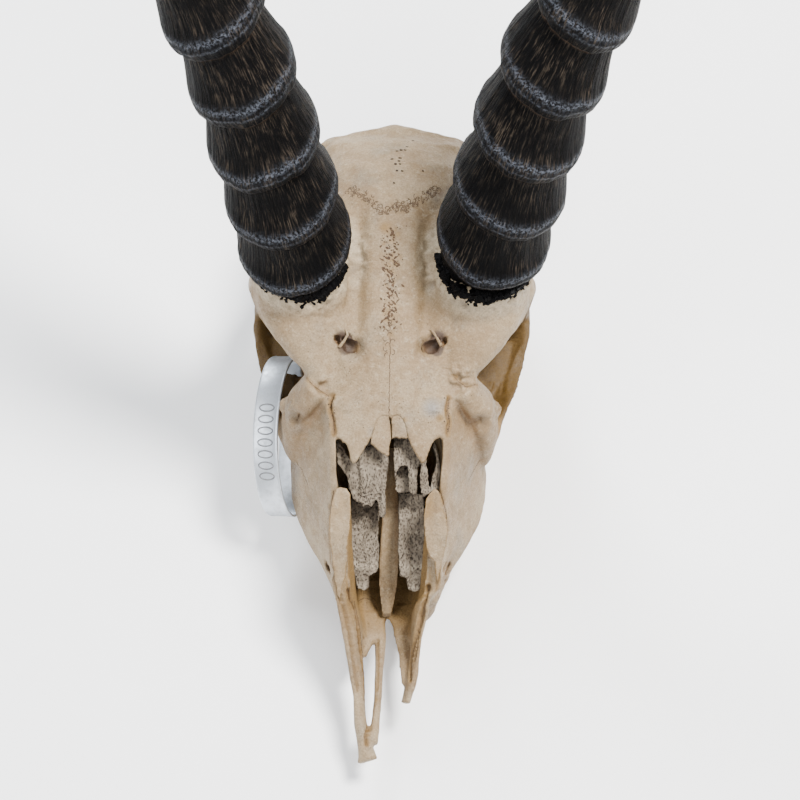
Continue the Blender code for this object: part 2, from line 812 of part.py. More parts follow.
def main():
    clear_scene()
    home = collection("antelope_skull")
    bone = material("bone", (0.72, 0.64, 0.52), 0.7)
    keratin = material("keratin", (0.03, 0.028, 0.03), 0.4)
    metal = material("aluminium", (0.78, 0.79, 0.8), 0.35, 1.0)
    skull = build_skull()
    for side, _ in SIDES:
        boolean(skull, "DIFFERENCE", turbinate(side, GAP))
    boolean(skull, "DIFFERENCE", vomer(GAP))
    boolean(skull, "DIFFERENCE", tag_band(GAP))
    bones = list(parted(skull).values())
    bpy.data.objects.remove(skull)
    for side, word in SIDES:
        scroll = turbinate(side, 0)
        scroll.name = f"turbinate_{word}"
        bones.append(scroll)
    bones.append(vomer(0))
    finishes = {piece: bone for piece in bones}
    finishes[tag_band(0)] = metal
    for side, word in SIDES:
        finishes[horn(f"horn_{word}", side)] = keratin
    origin = lowest_middle(finishes)
    for piece, finish in finishes.items():
        place(piece, origin, finish, home)


main()
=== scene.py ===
"""Looks of the antelope skull: weathered bone, ringed horns, porous nasal bones and a metal tag band.

The bone is modelled from the same named sizes as the solids, in millimetres, with finer skin, broken
edges, sutures and pits, and dress() brings each piece to metres in the part's own frame.
"""

import math
import random

import bmesh
import bpy
import numpy as np
from mathutils import Matrix, Vector
from mathutils.bvhtree import BVHTree
from mathutils.kdtree import KDTree


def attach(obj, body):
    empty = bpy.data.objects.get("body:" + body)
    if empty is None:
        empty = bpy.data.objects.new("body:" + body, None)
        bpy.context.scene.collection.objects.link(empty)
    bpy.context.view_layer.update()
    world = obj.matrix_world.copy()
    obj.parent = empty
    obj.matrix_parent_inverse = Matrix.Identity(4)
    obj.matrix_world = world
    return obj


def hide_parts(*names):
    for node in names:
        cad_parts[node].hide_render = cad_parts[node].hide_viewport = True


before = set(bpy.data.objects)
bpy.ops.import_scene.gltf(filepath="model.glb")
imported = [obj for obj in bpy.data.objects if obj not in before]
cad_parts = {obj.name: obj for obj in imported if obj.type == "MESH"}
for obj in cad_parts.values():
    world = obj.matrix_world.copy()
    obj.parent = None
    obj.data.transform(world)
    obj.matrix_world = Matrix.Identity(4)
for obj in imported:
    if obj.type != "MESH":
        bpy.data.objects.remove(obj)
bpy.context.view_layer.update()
dice = random.Random(7)

MM = 0.001
SIDES = ((-1, "right"), (1, "left"))
HOME = Vector((0, 3.9, 0))

# Sizes shared with the solids, in millimetres.
ORBIT_CENTRE = Vector((54, -17, 70.5))
ORBIT_RADII = (36, 23.5, 19.5)
HORN_BASE = Vector((37, 1, 109.7))
HORN_BASE_LEAN = 6.0
CHAMBER_BACK = -52.0
HORN_PATH = (
    HORN_BASE,
    Vector((44.4, 10, 148)),
    Vector((58.3, 30.5, 194.4)),
    Vector((80, 56, 240)),
    Vector((112, 95, 290)),
    Vector((137, 133, 345)),
    Vector((143, 160, 405)),
    Vector((134, 175, 462)),
    Vector((120, 182, 508)),
)
HORN_RADIUS = 18.1
HORN_TIP_RADIUS = 2.2
RING_FIRST = {-1: 12.0, 1: 18.0}
RING_PITCHES = (25, 26, 27.5, 29, 28, 27, 26, 25, 24, 23, 22, 21, 20, 19)
RING_HEIGHT = 5.1
RING_TILT = 7.5

# The photograph's camera, in millimetres, and its image size.
TARGET = Vector((4.0, -49, 85))
ELEVATION = 60.0
DISTANCE = 1000.0
FOCAL_PIXELS = 2500.0
ROLL = 0.95
IMAGE = 800


def camera_matrix():
    """The camera's place and turn in millimetres."""
    lift = math.radians(ELEVATION)
    towards = Vector((0, -math.cos(lift), math.sin(lift)))
    turn = (-towards).to_track_quat("-Z", "Y").to_matrix().to_4x4()
    place = Matrix.Translation(TARGET + towards * DISTANCE)
    return place @ turn @ Matrix.Rotation(math.radians(ROLL), 4, "Z")


CAMERA = camera_matrix()


def sight_line(x, y):
    """Start and direction of the line of sight through an image point."""
    direction = Vector(((x - IMAGE / 2) / FOCAL_PIXELS, (IMAGE / 2 - y) / FOCAL_PIXELS, -1))
    return CAMERA.to_translation(), (CAMERA.to_3x3() @ direction).normalized()


def at_height(x, y, height):
    """The point at a height over the floor that an image point shows."""
    start, direction = sight_line(x, y)
    return start + direction * ((height - start.z) / direction.z)


def path_between(corners, spacing, wobble, steady_above=0):
    """An image path through corners, with points every spacing pixels that stray by wobble.

    Edges that reach above the image row steady_above stay straight.
    """
    made = []
    for a, b in zip(corners, corners[1:]):
        stray = 0.0 if min(a[1], b[1]) < steady_above else wobble
        steps = max(1, round(math.dist(a, b) / spacing))
        for k in range(steps):
            share = k / steps
            x = a[0] + (b[0] - a[0]) * share + dice.uniform(-stray, stray)
            y = a[1] + (b[1] - a[1]) * share + dice.uniform(-stray, stray)
            made.append((x, y))
    made.append(corners[-1])
    return made


def closed_path(outline, spacing, wobble, steady_above=0):
    """The same round a closed outline."""
    return path_between((*outline, outline[0]), spacing, wobble, steady_above)[:-1]


# Mesh helpers.


def mirrored(point, side):
    return Vector((side * point[0], point[1], point[2]))


def mesh_object(name, bm):
    mesh = bpy.data.meshes.new(name)
    bm.to_mesh(mesh)
    bm.free()
    made = bpy.data.objects.new(name, mesh)
    bpy.context.scene.collection.objects.link(made)
    return made


def apply_modifiers(obj):
    graph = bpy.context.evaluated_depsgraph_get()
    baked = bpy.data.meshes.new_from_object(obj.evaluated_get(graph))
    obj.modifiers.clear()
    obj.data = baked
    return obj


def blob(bm, centre, radii, turn=(0, 0, 0), detail=24):
    """Adds an ellipsoid, turned by three angles in degrees."""
    spin = Matrix.Rotation(math.radians(turn[2]), 4, "Z")
    spin = spin @ Matrix.Rotation(math.radians(turn[1]), 4, "Y")
    spin = spin @ Matrix.Rotation(math.radians(turn[0]), 4, "X")
    shape = Matrix.Translation(centre) @ spin @ Matrix.Diagonal((*radii, 1))
    bmesh.ops.create_uvsphere(bm, u_segments=detail, v_segments=detail // 2, radius=1, matrix=shape)


def loft(bm, rings, endless=False):
    """Joins closed rings of equal length into one body, capped or endless, with its faces pointing out."""
    loops = [[bm.verts.new(point) for point in ring] for ring in rings]
    faces = []
    for first, second in zip(loops, loops[1:] + loops[:1] if endless else loops[1:]):
        for i, corner in enumerate(first):
            j = (i + 1) % len(first)
            faces.append(bm.faces.new((corner, first[j], second[j], second[i])))
    if not endless:
        faces.append(bm.faces.new(list(reversed(loops[0]))))
        faces.append(bm.faces.new(loops[-1]))
    bmesh.ops.recalc_face_normals(bm, faces=faces)


def oval(centre, across, up, count):
    """A closed ring of points round a centre, from its two half axes."""
    turns = [2 * math.pi * k / count for k in range(count)]
    return [centre + across * math.cos(turn) + up * math.sin(turn) for turn in turns]


def rounded(value, power):
    """A sine or cosine raised to a power that keeps its sign, for squarer rings."""
    return math.copysign(abs(value) ** power, value)


def dome_ring(y, half_width, z_low, z_high, droop=0.0, power=2.3, count=36):
    """A superellipse across the skull whose edges hang by droop."""
    ring = []
    for i in range(count):
        turn = 2 * math.pi * i / count
        c, s = math.cos(turn), math.sin(turn)
        across, up = rounded(c, 2 / power), rounded(s, 2 / power)
        middle, half = (z_low + z_high) / 2, (z_high - z_low) / 2
        ring.append(Vector((half_width * across, y, middle + half * up - droop * across**2)))
    return ring


def muzzle_ring(y, low, cheek, brow, bridge):
    """A section of the upper jaw from four (half width, height) pairs, bottom to top."""
    half = (
        (0, low[1]),
        (low[0] * 0.8, low[1]),
        (low[0], low[1] + 3),
        (low[0] * 0.4 + cheek[0] * 0.6, low[1] * 0.4 + cheek[1] * 0.6),
        cheek,
        (cheek[0] * 0.5 + brow[0] * 0.5, cheek[1] * 0.5 + brow[1] * 0.5),
        brow,
        (bridge[0], bridge[1] - 3),
        (bridge[0] * 0.75, bridge[1]),
        (0, bridge[1]),
    )
    ring = [Vector((x, y, z)) for x, z in half]
    ring += [Vector((-x, y, z)) for x, z in reversed(half[1:-1])]
    return ring


def limb(bm, stations, wide, side=1, count=16):
    """Adds a bar through stations of (point, half width, half thickness). Its width follows wide."""
    points = [mirrored(point, side) for point, _, _ in stations]
    rings = []
    for i, (_, half_width, half_thick) in enumerate(stations):
        ahead = points[min(i + 1, len(points) - 1)] - points[max(i - 1, 0)]
        ahead.normalize()
        across = mirrored(wide, side)
        across = (across - across.dot(ahead) * ahead).normalized()
        rings.append(oval(points[i], across * half_width, ahead.cross(across) * half_thick, count))
    loft(bm, rings)


def remesh(obj, voxel, smoothing):
    """Fuses all that overlaps in one object into a single skin and relaxes it."""
    fuse = obj.modifiers.new("Fuse", "REMESH")
    fuse.mode = "VOXEL"
    fuse.voxel_size = voxel
    relax = obj.modifiers.new("Relax", "SMOOTH")
    relax.factor = 0.5
    relax.iterations = smoothing
    return apply_modifiers(obj)


def boolean(target, operation, other):
    """One Boolean step whose second object is then removed."""
    step = target.modifiers.new(operation, "BOOLEAN")
    step.operation = operation
    step.solver = "MANIFOLD"
    step.object = other
    apply_modifiers(target)
    bpy.data.objects.remove(other)
    return target


def joined(target, others):
    """Adds the meshes of other objects to one object, as they are."""
    bm = bmesh.new()
    bm.from_mesh(target.data)
    for other in others:
        bm.from_mesh(other.data)
        bpy.data.objects.remove(other)
    bm.to_mesh(target.data)
    bm.free()
    return target


# Bone clay: overlapping bodies that are fused into one skin.


def add_braincase(bm):
    stations = (
        (-30, 24, 50, 98),
        (-10, 30, 40, 106),
        (10, 34, 30, 112),
        (30, 36, 24, 113),
        (50, 38, 20, 109.5),
        (66, 38.5, 18, 102),
        (76, 36.5, 18, 94),
        (83, 28, 20, 82),
        (88, 15, 24, 62),
    )
    loft(bm, [dome_ring(y, w, low, high, power=2.5) for y, w, low, high in stations])


def add_frontal_shield(bm):
    stations = (
        (-54, 25, 84, 89.8, 3),
        (-48, 28, 83, 92.3, 4),
        (-40, 32, 80, 95.5, 6),
        (-34, 36, 79, 98, 7),
        (-22, 48, 84, 102.5, 7),
        (-10, 55, 88, 107, 7),
        (-2, 58.5, 91, 109.5, 8),
        (7, 58, 91, 112, 10),
        (16, 50, 90, 113, 12),
        (26, 39, 80, 113, 8),
    )
    loft(bm, [dome_ring(y, w, low, high, droop) for y, w, low, high, droop in stations])


def add_horn_pedicle(bm, side):
    axis = HORN_PATH[1] - HORN_PATH[0]
    root = HORN_BASE - axis.normalized() * 26
    top = HORN_BASE + axis.normalized() * 8
    limb(bm, ((root, 24, 24), (HORN_BASE, 19.5, 20), (top, 17, 17)), (1, 0, 0), side, 28)
    brow = (
        ((39, -4, 97), 17, 11),
        ((35.5, -17, 95.5), 15.5, 9.5),
        ((31.5, -29, 92), 11, 7),
        ((28, -38, 89.5), 6.5, 4.5),
        ((26.5, -43.5, 88), 3.2, 3),
    )
    limb(bm, brow, (1, 0, 0), side, 24)


def add_orbit_frame(bm, side):
    """The ring of bone round one eye and the arch behind it."""
    postorbital = (
        ((54, 2, 92), 6, 3.5),
        ((57, 9, 79), 5.5, 2.8),
        ((56.5, 13, 67), 6, 2.8),
        ((54, 14, 54), 8, 3),
    )
    limb(bm, postorbital, (0, 1, 0), side)
    front = (((35, -52, 47), 12, 7), ((40, -42, 45), 12, 5))
    middle = (((45, -28, 43.5), 12, 3.4), ((49.5, -12, 45), 11, 3), ((53, 4, 48), 9, 2.8))
    rear = (((54, 20, 51), 6, 3), ((50.5, 36, 51), 5, 3.5), ((42, 50, 48), 6, 6), ((33, 58, 46), 6, 7))
    limb(bm, front + middle + rear, (0.55, 0, 0.83), side)
    lacrimal = (
        ((29, -43, 88), 8, 5),
        ((36.5, -46, 76), 9, 5.5),
        ((38.5, -47, 62), 11, 6),
        ((38, -48, 48), 12, 6),
    )
    limb(bm, lacrimal, (0, 1, 0), side)
    blob(bm, (side * 41.5, -43, 69), (4, 3.5, 3.5))
    blob(bm, (side * 37, -36, 40), (10, 11, 9))
    floor = (((32, -42, 46), 12, 5), ((37, -26, 48), 11, 4), ((40, -12, 49), 11, 3.5), ((45, 2, 50), 9, 3))
    limb(bm, floor, (1, 0, -0.15), side)


def add_skull_base(bm, side):
    """Ear region, condyle, bulla, paroccipital process and pterygoid wing of one side."""
    blob(bm, (side * 35, 56, 42), (10, 16, 16))
    blob(bm, (side * 12.5, 85, 27), (8.5, 10, 13), (-20, 0, side * 20))
    blob(bm, (side * 20, 46, 17), (8.5, 14, 10.5), (0, 0, side * -12))
    process = (
        ((29, 66, 44), 8, 6),
        ((27.5, 69, 24), 6.5, 4.5),
        ((25.5, 68, 8), 5, 3.6),
        ((24.5, 66, 0.6), 4.2, 3.4),
    )
    limb(bm, process, (0.3, 1, 0), side)
    wing = (((15, -16, 24), 9, 3.5), ((14, 2, 23), 11, 2.6), ((13, 18, 24), 11, 2.4), ((12, 30, 27), 8, 3))
    limb(bm, wing, (0, 0, 1), side)


def add_nuchal_crest(bm):
    crest = (
        ((-35.5, 62, 72), 5, 4),
        ((-29, 69, 83.5), 5, 4),
        ((-16, 73, 89), 5.5, 4.5),
        ((0, 75, 91.5), 6, 5),
        ((16, 73, 89), 5.5, 4.5),
        ((29, 69, 83), 5, 4),
        ((35.5, 62, 72), 5, 4),
    )
    limb(bm, crest, (0, 1, 0.4))
    blob(bm, (0, 58, 23), (13, 32, 9))


def add_muzzle(bm):
    stations = (
        (-4, (26, 18), (27, 30), (24, 46), (20, 85)),
        (-16, (30, 12), (33, 30), (30, 50), (22, 88)),
        (-30, (31, 11), (36, 33), (35, 58), (25, 89)),
        (-42, (31, 11), (40.5, 36), (38.5, 66), (29, 87)),
        (-55, (30, 11), (41, 34), (35.5, 66), (24, 88.5)),
        (-66, (28.5, 11), (40.5, 32), (33, 60), (23.6, 83.5)),
        (-76, (26.5, 11.5), (38, 31), (31, 54), (23.6, 78)),
        (-86, (24, 12), (33.5, 30), (28, 50), (22.4, 71)),
        (-96, (21, 13), (27.5, 30), (24.5, 46), (20, 64)),
        (-106, (18, 13.5), (22.5, 28), (21.5, 42), (19, 55)),
        (-116, (16, 13.5), (19, 24), (18.6, 34), (17.3, 43)),
        (-124, (14.5, 13.5), (16, 20), (15.8, 27), (15.3, 33)),
    )
    loft(bm, [muzzle_ring(*station) for station in stations])


def premaxilla(side, broken):
    """The long outer bar with its ascending process, and the thin palatine bar unless it is broken."""
    outer = [
        ((18.2, -84.5, 67.5), 3.2, 1.5),
        ((18.3, -87, 66.2), 4.8, 1.8),
        ((18.2, -94, 61), 5.6, 2),
        ((18, -106, 50), 6.5, 2.1),
        ((16.6, -118, 36), 7.5, 2.2),
    ]
    if broken:
        outer += [((13.8, -132, 26), 6, 2.3), ((10.4, -143, 21), 4.8, 2.2), ((8.2, -151.5, 18.5), 3.2, 1.6)]
        floor = (
            ((8, -108, 18), 7, 1.6),
            ((9.2, -120, 18.5), 6, 1.5),
            ((9.8, -132, 19.5), 4.4, 1.4),
            ((9, -144, 19.5), 2.6, 1.3),
        )
    else:
        outer += [((14.6, -133, 25), 6.5, 2.4), ((12.2, -149, 19.5), 5, 2.5)]
        outer += [((9.6, -162, 16.5), 4, 2.8), ((7.6, -170, 15), 3.2, 3.6), ((6.6, -175, 14.4), 2, 4.6)]
        floor = (((8.5, -112, 17.5), 7, 2), ((9, -122, 18.5), 5.5, 1.9), ((11.5, -132, 20), 2.5, 1.8))
    bm = bmesh.new()
    limb(bm, outer, (0.45, 0.2, 1), side)
    limb(bm, floor, (1, 0, 0), side)
    if not broken:
        inner = (
            ((2.6, -104, 17), 2.2, 2.4),
            ((2.5, -126, 17), 2, 2.6),
            ((3, -148, 15.5), 1.9, 2.4),
            ((4.4, -168, 14.5), 2.2, 2.2),
        )
        limb(bm, inner, (1, 0, 0), side)
    return mesh_object("premaxilla", bm)


# Broken front edges of the frontals and what is left of the nasals, as the camera sees them.
FRONTAL_OUTLINES = (
    (
        (389.5, 396), (333, 396), (333.5, 430), (334.5, 435.5), (336.5, 434.5), (339, 438.5), (341, 437.5),
        (342.6, 443), (345, 440.5), (346.5, 445), (348.4, 450), (350, 458.5), (353.4, 464), (357.6, 460.5),
        (360.4, 455), (364, 449), (368, 443.5), (371.5, 436), (375.6, 424), (379, 417.4), (384.4, 415.4),
        (388.8, 417),
    ),
    (
        (390.3, 396), (447.6, 396), (448, 431), (445.6, 434.4), (441.6, 435), (438.7, 437), (435, 438.4),
        (432.8, 441), (430.4, 447), (428, 454), (425.6, 460), (422.8, 463.4), (420, 459.6), (416.7, 454.5),
        (412.4, 447), (408.8, 438.6), (406, 428), (403.4, 420.4), (399.6, 415.6), (395.4, 414.6),
        (391, 418.4),
    ),
)
NASAL_OUTLINES = (
    (
        (388.6, 414), (384.2, 413.6), (378.6, 416), (375, 424), (371.2, 437), (370.6, 443), (374.6, 446),
        (378.5, 450), (382.6, 452.6), (387, 456), (389.4, 454.4), (389.2, 446), (391.4, 438), (390.4, 425),
    ),
    (
        (391.6, 417), (396, 413), (401, 415), (405.6, 424), (408.2, 437), (407, 438.6), (402, 437),
        (399, 438),
        (396, 436.4), (391.9, 438.6), (391.6, 428),
    ),
)
PLATE_THICKNESS = 1.9


PLATE_EDGE_STEP = 2.2
PLATE_EDGE_STRAY = 0.35
PLATE_STRAIGHT_ABOVE = 400  # the image row where the broken edges end


def plate_height(x, y):
    """Height of the frontal's outer face over the nasal chamber."""
    return 89.4 + (y + 54) * 0.47 - 3.2 * (x / 25) ** 2


def on_plate(px, py, sink):
    """The point of the frontal's face, or of a layer under it, that an image point shows."""
    start, direction = sight_line(px, py)
    far = (85 - start.z) / direction.z
    for _ in range(12):
        point = start + direction * far
        far += (plate_height(point.x, point.y) - sink - point.z) / direction.z
    return start + direction * far


def plate(outline, sink, thickness):
    """A thin plate under an outline in the image, with small teeth along its edge."""
    path = closed_path(outline, PLATE_EDGE_STEP, PLATE_EDGE_STRAY, PLATE_STRAIGHT_ABOVE)
    corners = [on_plate(x, y, sink) for x, y in path]
    bm = bmesh.new()
    loft(bm, [corners, [corner - Vector((0, -0.2, 1)) * thickness for corner in corners]])
    return mesh_object("plate", bm)


# Cutters: the hollows of the skull.


def orbit_cutter(side):
    bm = bmesh.new()
    blob(bm, mirrored(ORBIT_CENTRE, side), ORBIT_RADII, (0, side * -4, side * 6), 48)
    return mesh_object("orbit", bm)


def nasal_cutter():
    """The nasal chamber, roofed only by the frontals, with its floor above the palate."""
    stations = (
        (CHAMBER_BACK, (14, 22), (17, 45), (17, 66), (17, 82)),
        (-60, (14.5, 20), (19, 45), (20, 66), (21.5, 100)),
        (-66, (15, 20), (20, 45), (21.5, 66), (21.5, 110)),
        (-84, (14.5, 19), (18, 45), (20, 66), (21, 110)),
        (-88, (14, 19), (16.5, 45), (16, 60), (16, 110)),
        (-104, (12.5, 19), (15, 35), (15.5, 50), (16, 100)),
        (-118, (11.5, 19.3), (14, 28), (14.6, 38), (15, 90)),
        (-140, (10, 20), (13, 25), (13.5, 34), (14, 80)),
    )
    bm = bmesh.new()
    loft(bm, [muzzle_ring(*station) for station in stations])
    return mesh_object("nasal", bm)


def base_normal(side):
    lean = math.radians(HORN_BASE_LEAN)
    return Vector((side * 0.08, math.sin(lean), math.cos(lean))).normalized()


# The drum that cuts the pedicle: its radius, its depth and the height of its middle over the base.
SEAT_RADIUS = 27
SEAT_DEPTH = 40
SEAT_HEIGHT = 23.5


def horn_seat(side):
    """Cuts the pedicle off flat, a little inside the horn sheath."""
    bm = bmesh.new()
    drum = {"radius1": SEAT_RADIUS, "radius2": SEAT_RADIUS, "depth": SEAT_DEPTH}
    bmesh.ops.create_cone(bm, cap_ends=True, segments=32, **drum)
    turn = base_normal(side).to_track_quat("Z", "Y").to_matrix().to_4x4()
    centre = mirrored(HORN_BASE, side) + base_normal(side) * SEAT_HEIGHT
    bmesh.ops.transform(bm, matrix=Matrix.Translation(centre) @ turn, verts=bm.verts)
    return mesh_object("seat", bm)


FORAMEN_CENTRE = (0, 91, 33)
FORAMEN_RADII = (9, 17, 8.5)
SUPRAORBITAL_PIT = (18.5, -30.6, 98.4)


def foramen_cutters():
    """The foramen magnum, the two pits above the eyes and the holes in front of and behind them."""
    bm = bmesh.new()
    blob(bm, FORAMEN_CENTRE, FORAMEN_RADII)
    for side, _ in SIDES:
        blob(bm, (side * 20.8, -29.6, 98), (1.5, 2.6, 5), (35, 0, side * -30))
        pit = (side * SUPRAORBITAL_PIT[0], *SUPRAORBITAL_PIT[1:])
        blob(bm, pit, (2.0, 3.6, 4.8), (0, side * 24, side * -34), 32)
        blob(bm, (side * 24, -99.5, 36), (4, 2.6, 2.4), (0, 0, side * 25))
        blob(bm, (side * 41, 50, 38), (6, 3, 3))
    return mesh_object("foramina", bm)


PALATE_NOTCH = (
    (384.4, 617), (388, 618), (392, 624), (396, 631), (400, 642), (403, 652), (403, 664), (384.4, 664),
)
NOTCH_HEIGHTS = (56, 1)


def palate_notch():
    """Opens the palate in front, beside the middle strip, where the photograph shows the table."""
    bm = bmesh.new()
    loft(bm, [[at_height(x, y, height) for x, y in PALATE_NOTCH] for height in NOTCH_HEIGHTS])
    return mesh_object("notch", bm)


# Surface work on a finished skin, as arrays of points, normals and masks.


def store_channels(mesh, name, channels):
    """Keeps up to three arrays as the channels of a colour on the points of a mesh."""
    stored = np.ones((len(mesh.vertices), 4), dtype=np.float32)
    for channel, values in enumerate(channels):
        stored[:, channel] = np.clip(values, 0, 1).ravel()
    layer = mesh.attributes.new(name, "FLOAT_COLOR", "POINT")
    layer.data.foreach_set("color", stored.ravel())


class Surface:
    """What the camera's lines of sight meet on a finished mesh."""

    def __init__(self, obj):
        self.faces = BVHTree.FromObject(obj, bpy.context.evaluated_depsgraph_get())

    def seen(self, x, y):
        """The point and normal that an image point shows."""
        start, direction = sight_line(x, y)
        point, normal, _, _ = self.faces.ray_cast(start, direction)
        return point, normal


GOLDEN_ANGLE = 2.39996


class Skin(Surface):
    """The points of a mesh with what is needed to dent them and to mark them."""

    def __init__(self, obj):
        super().__init__(obj)
        self.obj = obj
        count = len(obj.data.vertices)
        flat = np.empty(count * 3, dtype=np.float32)
        obj.data.vertices.foreach_get("co", flat)
        self.points = flat.reshape(-1, 3).astype(np.float64)
        obj.data.vertices.foreach_get("normal", flat)
        self.normals = flat.reshape(-1, 3).astype(np.float64)
        self.tree = KDTree(count)
        for i, point in enumerate(self.points):
            self.tree.insert(point, i)
        self.tree.balance()
        self.lift = np.zeros(count)
        self.masks = {name: np.zeros(count) for name in ("crack", "occlusion_shade", "grey", "orange", "chalk", "pit")}

    def mark(self, mask, values):
        """Raises a mask to the given values where they are higher."""
        self.masks[mask] = np.maximum(self.masks[mask], values)

    def spot(self, centre, radius, depth=0.0, mask=None, strength=0.0):
        """Dents the skin round a point and marks it, both fading to nothing at the radius."""
        for _, i, distance in self.tree.find_range(centre, radius):
            fade = (1 - (distance / radius) ** 2) ** 2
            self.lift[i] -= depth * fade
            if mask:
                self.masks[mask][i] = max(self.masks[mask][i], strength * fade)

    def spot_seen(self, x, y, radius, depth=0.0, mask=None, strength=0.0):
        point, _ = self.seen(x, y)
        if point:
            self.spot(point, radius, depth, mask, strength)

    def hollows(self, reach, rays):
        """Paints occlusion shade: marks how closed in each point is, by short lines sent out from it."""
        ways = []
        for k in range(rays):
            up = (k + 0.5) / rays
            turn = k * GOLDEN_ANGLE
            flat = math.sqrt(1 - up * up)
            ways.append((flat * math.cos(turn), flat * math.sin(turn), up))
        mask = self.masks["occlusion_shade"]
        for i, (point, normal) in enumerate(zip(self.points, self.normals)):
            out = Vector(normal)
            start = Vector(point) + out * 0.4
            side = out.orthogonal().normalized()
            other = out.cross(side)
            met = 0.0
            for a, b, c in ways:
                hit = self.faces.ray_cast(start, side * a + other * b + out * c, reach)
                if hit[0]:
                    met += 1 - 0.5 * hit[3] / reach
            mask[i] = met / rays

    def finish(self):
        """Moves the points and stores the masks on the mesh."""
        moved = self.points + self.normals * self.lift[:, None]
        self.obj.data.vertices.foreach_set("co", moved.astype(np.float32).ravel())
        for name, parts in (("marks", ("crack", "occlusion_shade", "grey")), ("tints", ("orange", "chalk", "pit"))):
            store_channels(self.obj.data, name, [self.masks[part] for part in parts])
        self.obj.data.update()
        return self.obj


def value_noise(points, size, seed):
    """Smooth noise from -1 to 1 whose lumps are about size across."""
    spots = points / size + seed * 13.7
    cell = np.floor(spots).astype(np.int64)
    part = spots - cell
    part = part * part * (3 - 2 * part)
    total = np.zeros(len(points))
    for corner in range(8):
        step = np.array([corner & 1, (corner >> 1) & 1, (corner >> 2) & 1])
        at = cell + step
        mixed = (at[:, 0] * 73856093) ^ (at[:, 1] * 19349663) ^ (at[:, 2] * 83492791) ^ (seed * 2654435)
        mixed = (mixed ^ (mixed >> 13)) * 1274126177
        value = ((mixed ^ (mixed >> 16)) & 0xFFFF) / 32767.5 - 1
        weight = np.prod(np.where(step == 1, part, 1 - part), axis=1)
        total += value * weight
    return total


def bump_window(values, centre, spread):
    return np.exp(-(((values - centre) / spread) ** 2))


def step_up(values, low, high):
    share = np.clip((values - low) / (high - low), 0, 1)
    return share * share * (3 - 2 * share)


# Lines and dots laid on the skin where the photograph shows sutures and small holes.


def threads(name, skin, paths, radius):
    """Thin half-sunk strands along image paths, as one mesh."""
    bm = bmesh.new()
    for path in paths:
        spine = []
        for x, y in path:
            point, normal = skin.seen(x, y)
            if point is None:
                continue
            spot = point - normal * radius * 0.35
            if spine and (spot - spine[-1][0]).length > 3.0:
                break
            if not spine or (spot - spine[-1][0]).length > 0.05:
                spine.append((spot, normal))
        if len(spine) < 2:
            continue
        rings = []
        for i, (spot, normal) in enumerate(spine):
            ahead = spine[min(i + 1, len(spine) - 1)][0] - spine[max(i - 1, 0)][0]
            across = ahead.cross(normal).normalized()
            size = radius * (0.45 if i in (0, len(spine) - 1) else dice.uniform(0.75, 1.15))
            rings.append(oval(spot, across * size, normal * size * 0.8, 5))
        loft(bm, rings)
    return mesh_object(name, bm)


def dots(name, skin, spots):
    """Small half-sunk dark lenses at image points given as (x, y, radius), as painted shade in place of open
    holes.
    """
    bm = bmesh.new()
    for x, y, radius in spots:
        point, normal = skin.seen(x, y)
        if point is None:
            continue
        turn = normal.to_track_quat("Z", "Y").to_matrix().to_4x4()
        shape = Matrix.Translation(point - normal * radius * 0.12) @ turn
        shape = shape @ Matrix.Diagonal((radius, radius * dice.uniform(0.7, 1.0), radius * 0.3, 1))
        bmesh.ops.create_icosphere(bm, subdivisions=1, radius=1, matrix=shape)
    return mesh_object(name, bm)


# Materials.


def nodes_of(name):
    made = bpy.data.materials.new(name)
    made.use_nodes = True
    tree = made.node_tree
    return made, tree, tree.nodes["Principled BSDF"]


def noise_node(tree, vector, scale, detail=4.0, rough=0.55):
    node = tree.nodes.new("ShaderNodeTexNoise")
    node.inputs["Scale"].default_value = scale
    node.inputs["Detail"].default_value = detail
    node.inputs["Roughness"].default_value = rough
    tree.links.new(vector, node.inputs["Vector"])
    return node.outputs["Fac"]


def cells_node(tree, vector, scale):
    node = tree.nodes.new("ShaderNodeTexVoronoi")
    node.inputs["Scale"].default_value = scale
    tree.links.new(vector, node.inputs["Vector"])
    return node.outputs["Distance"]


def range_node(tree, value, low, high, to_low=0.0, to_high=1.0):
    node = tree.nodes.new("ShaderNodeMapRange")
    node.interpolation_type = "SMOOTHSTEP"
    tree.links.new(value, node.inputs["Value"])
    node.inputs["From Min"].default_value = low
    node.inputs["From Max"].default_value = high
    node.inputs["To Min"].default_value = to_low
    node.inputs["To Max"].default_value = to_high
    return node.outputs["Result"]


def feed(tree, socket, value):
    """Sets a socket to a number or a colour, or links it to another node."""
    if isinstance(value, (int, float)):
        socket.default_value = value
    elif isinstance(value, tuple):
        socket.default_value = (*value, 1)
    else:
        tree.links.new(value, socket)


def times(tree, first, second):
    node = tree.nodes.new("ShaderNodeMath")
    node.operation = "MULTIPLY"
    feed(tree, node.inputs[0], first)
    feed(tree, node.inputs[1], second)
    return node.outputs[0]


def blend_colour(tree, share, first, second, mode="MIX"):
    node = tree.nodes.new("ShaderNodeMix")
    node.data_type = "RGBA"
    node.blend_type = mode
    feed(tree, node.inputs["Factor"], share)
    feed(tree, node.inputs[6], first)
    feed(tree, node.inputs[7], second)
    return node.outputs[2]


def attribute_parts(tree, name):
    node = tree.nodes.new("ShaderNodeAttribute")
    node.attribute_name = name
    split = tree.nodes.new("ShaderNodeSeparateColor")
    tree.links.new(node.outputs["Color"], split.inputs["Color"])
    return split.outputs


def bump_node(tree, height, distance, strength=1.0, normal=None):
    node = tree.nodes.new("ShaderNodeBump")
    node.inputs["Strength"].default_value = strength
    node.inputs["Distance"].default_value = distance
    tree.links.new(height, node.inputs["Height"])
    if normal:
        tree.links.new(normal, node.inputs["Normal"])
    return node.outputs["Normal"]


def object_space(tree):
    return tree.nodes.new("ShaderNodeTexCoord").outputs["Object"]


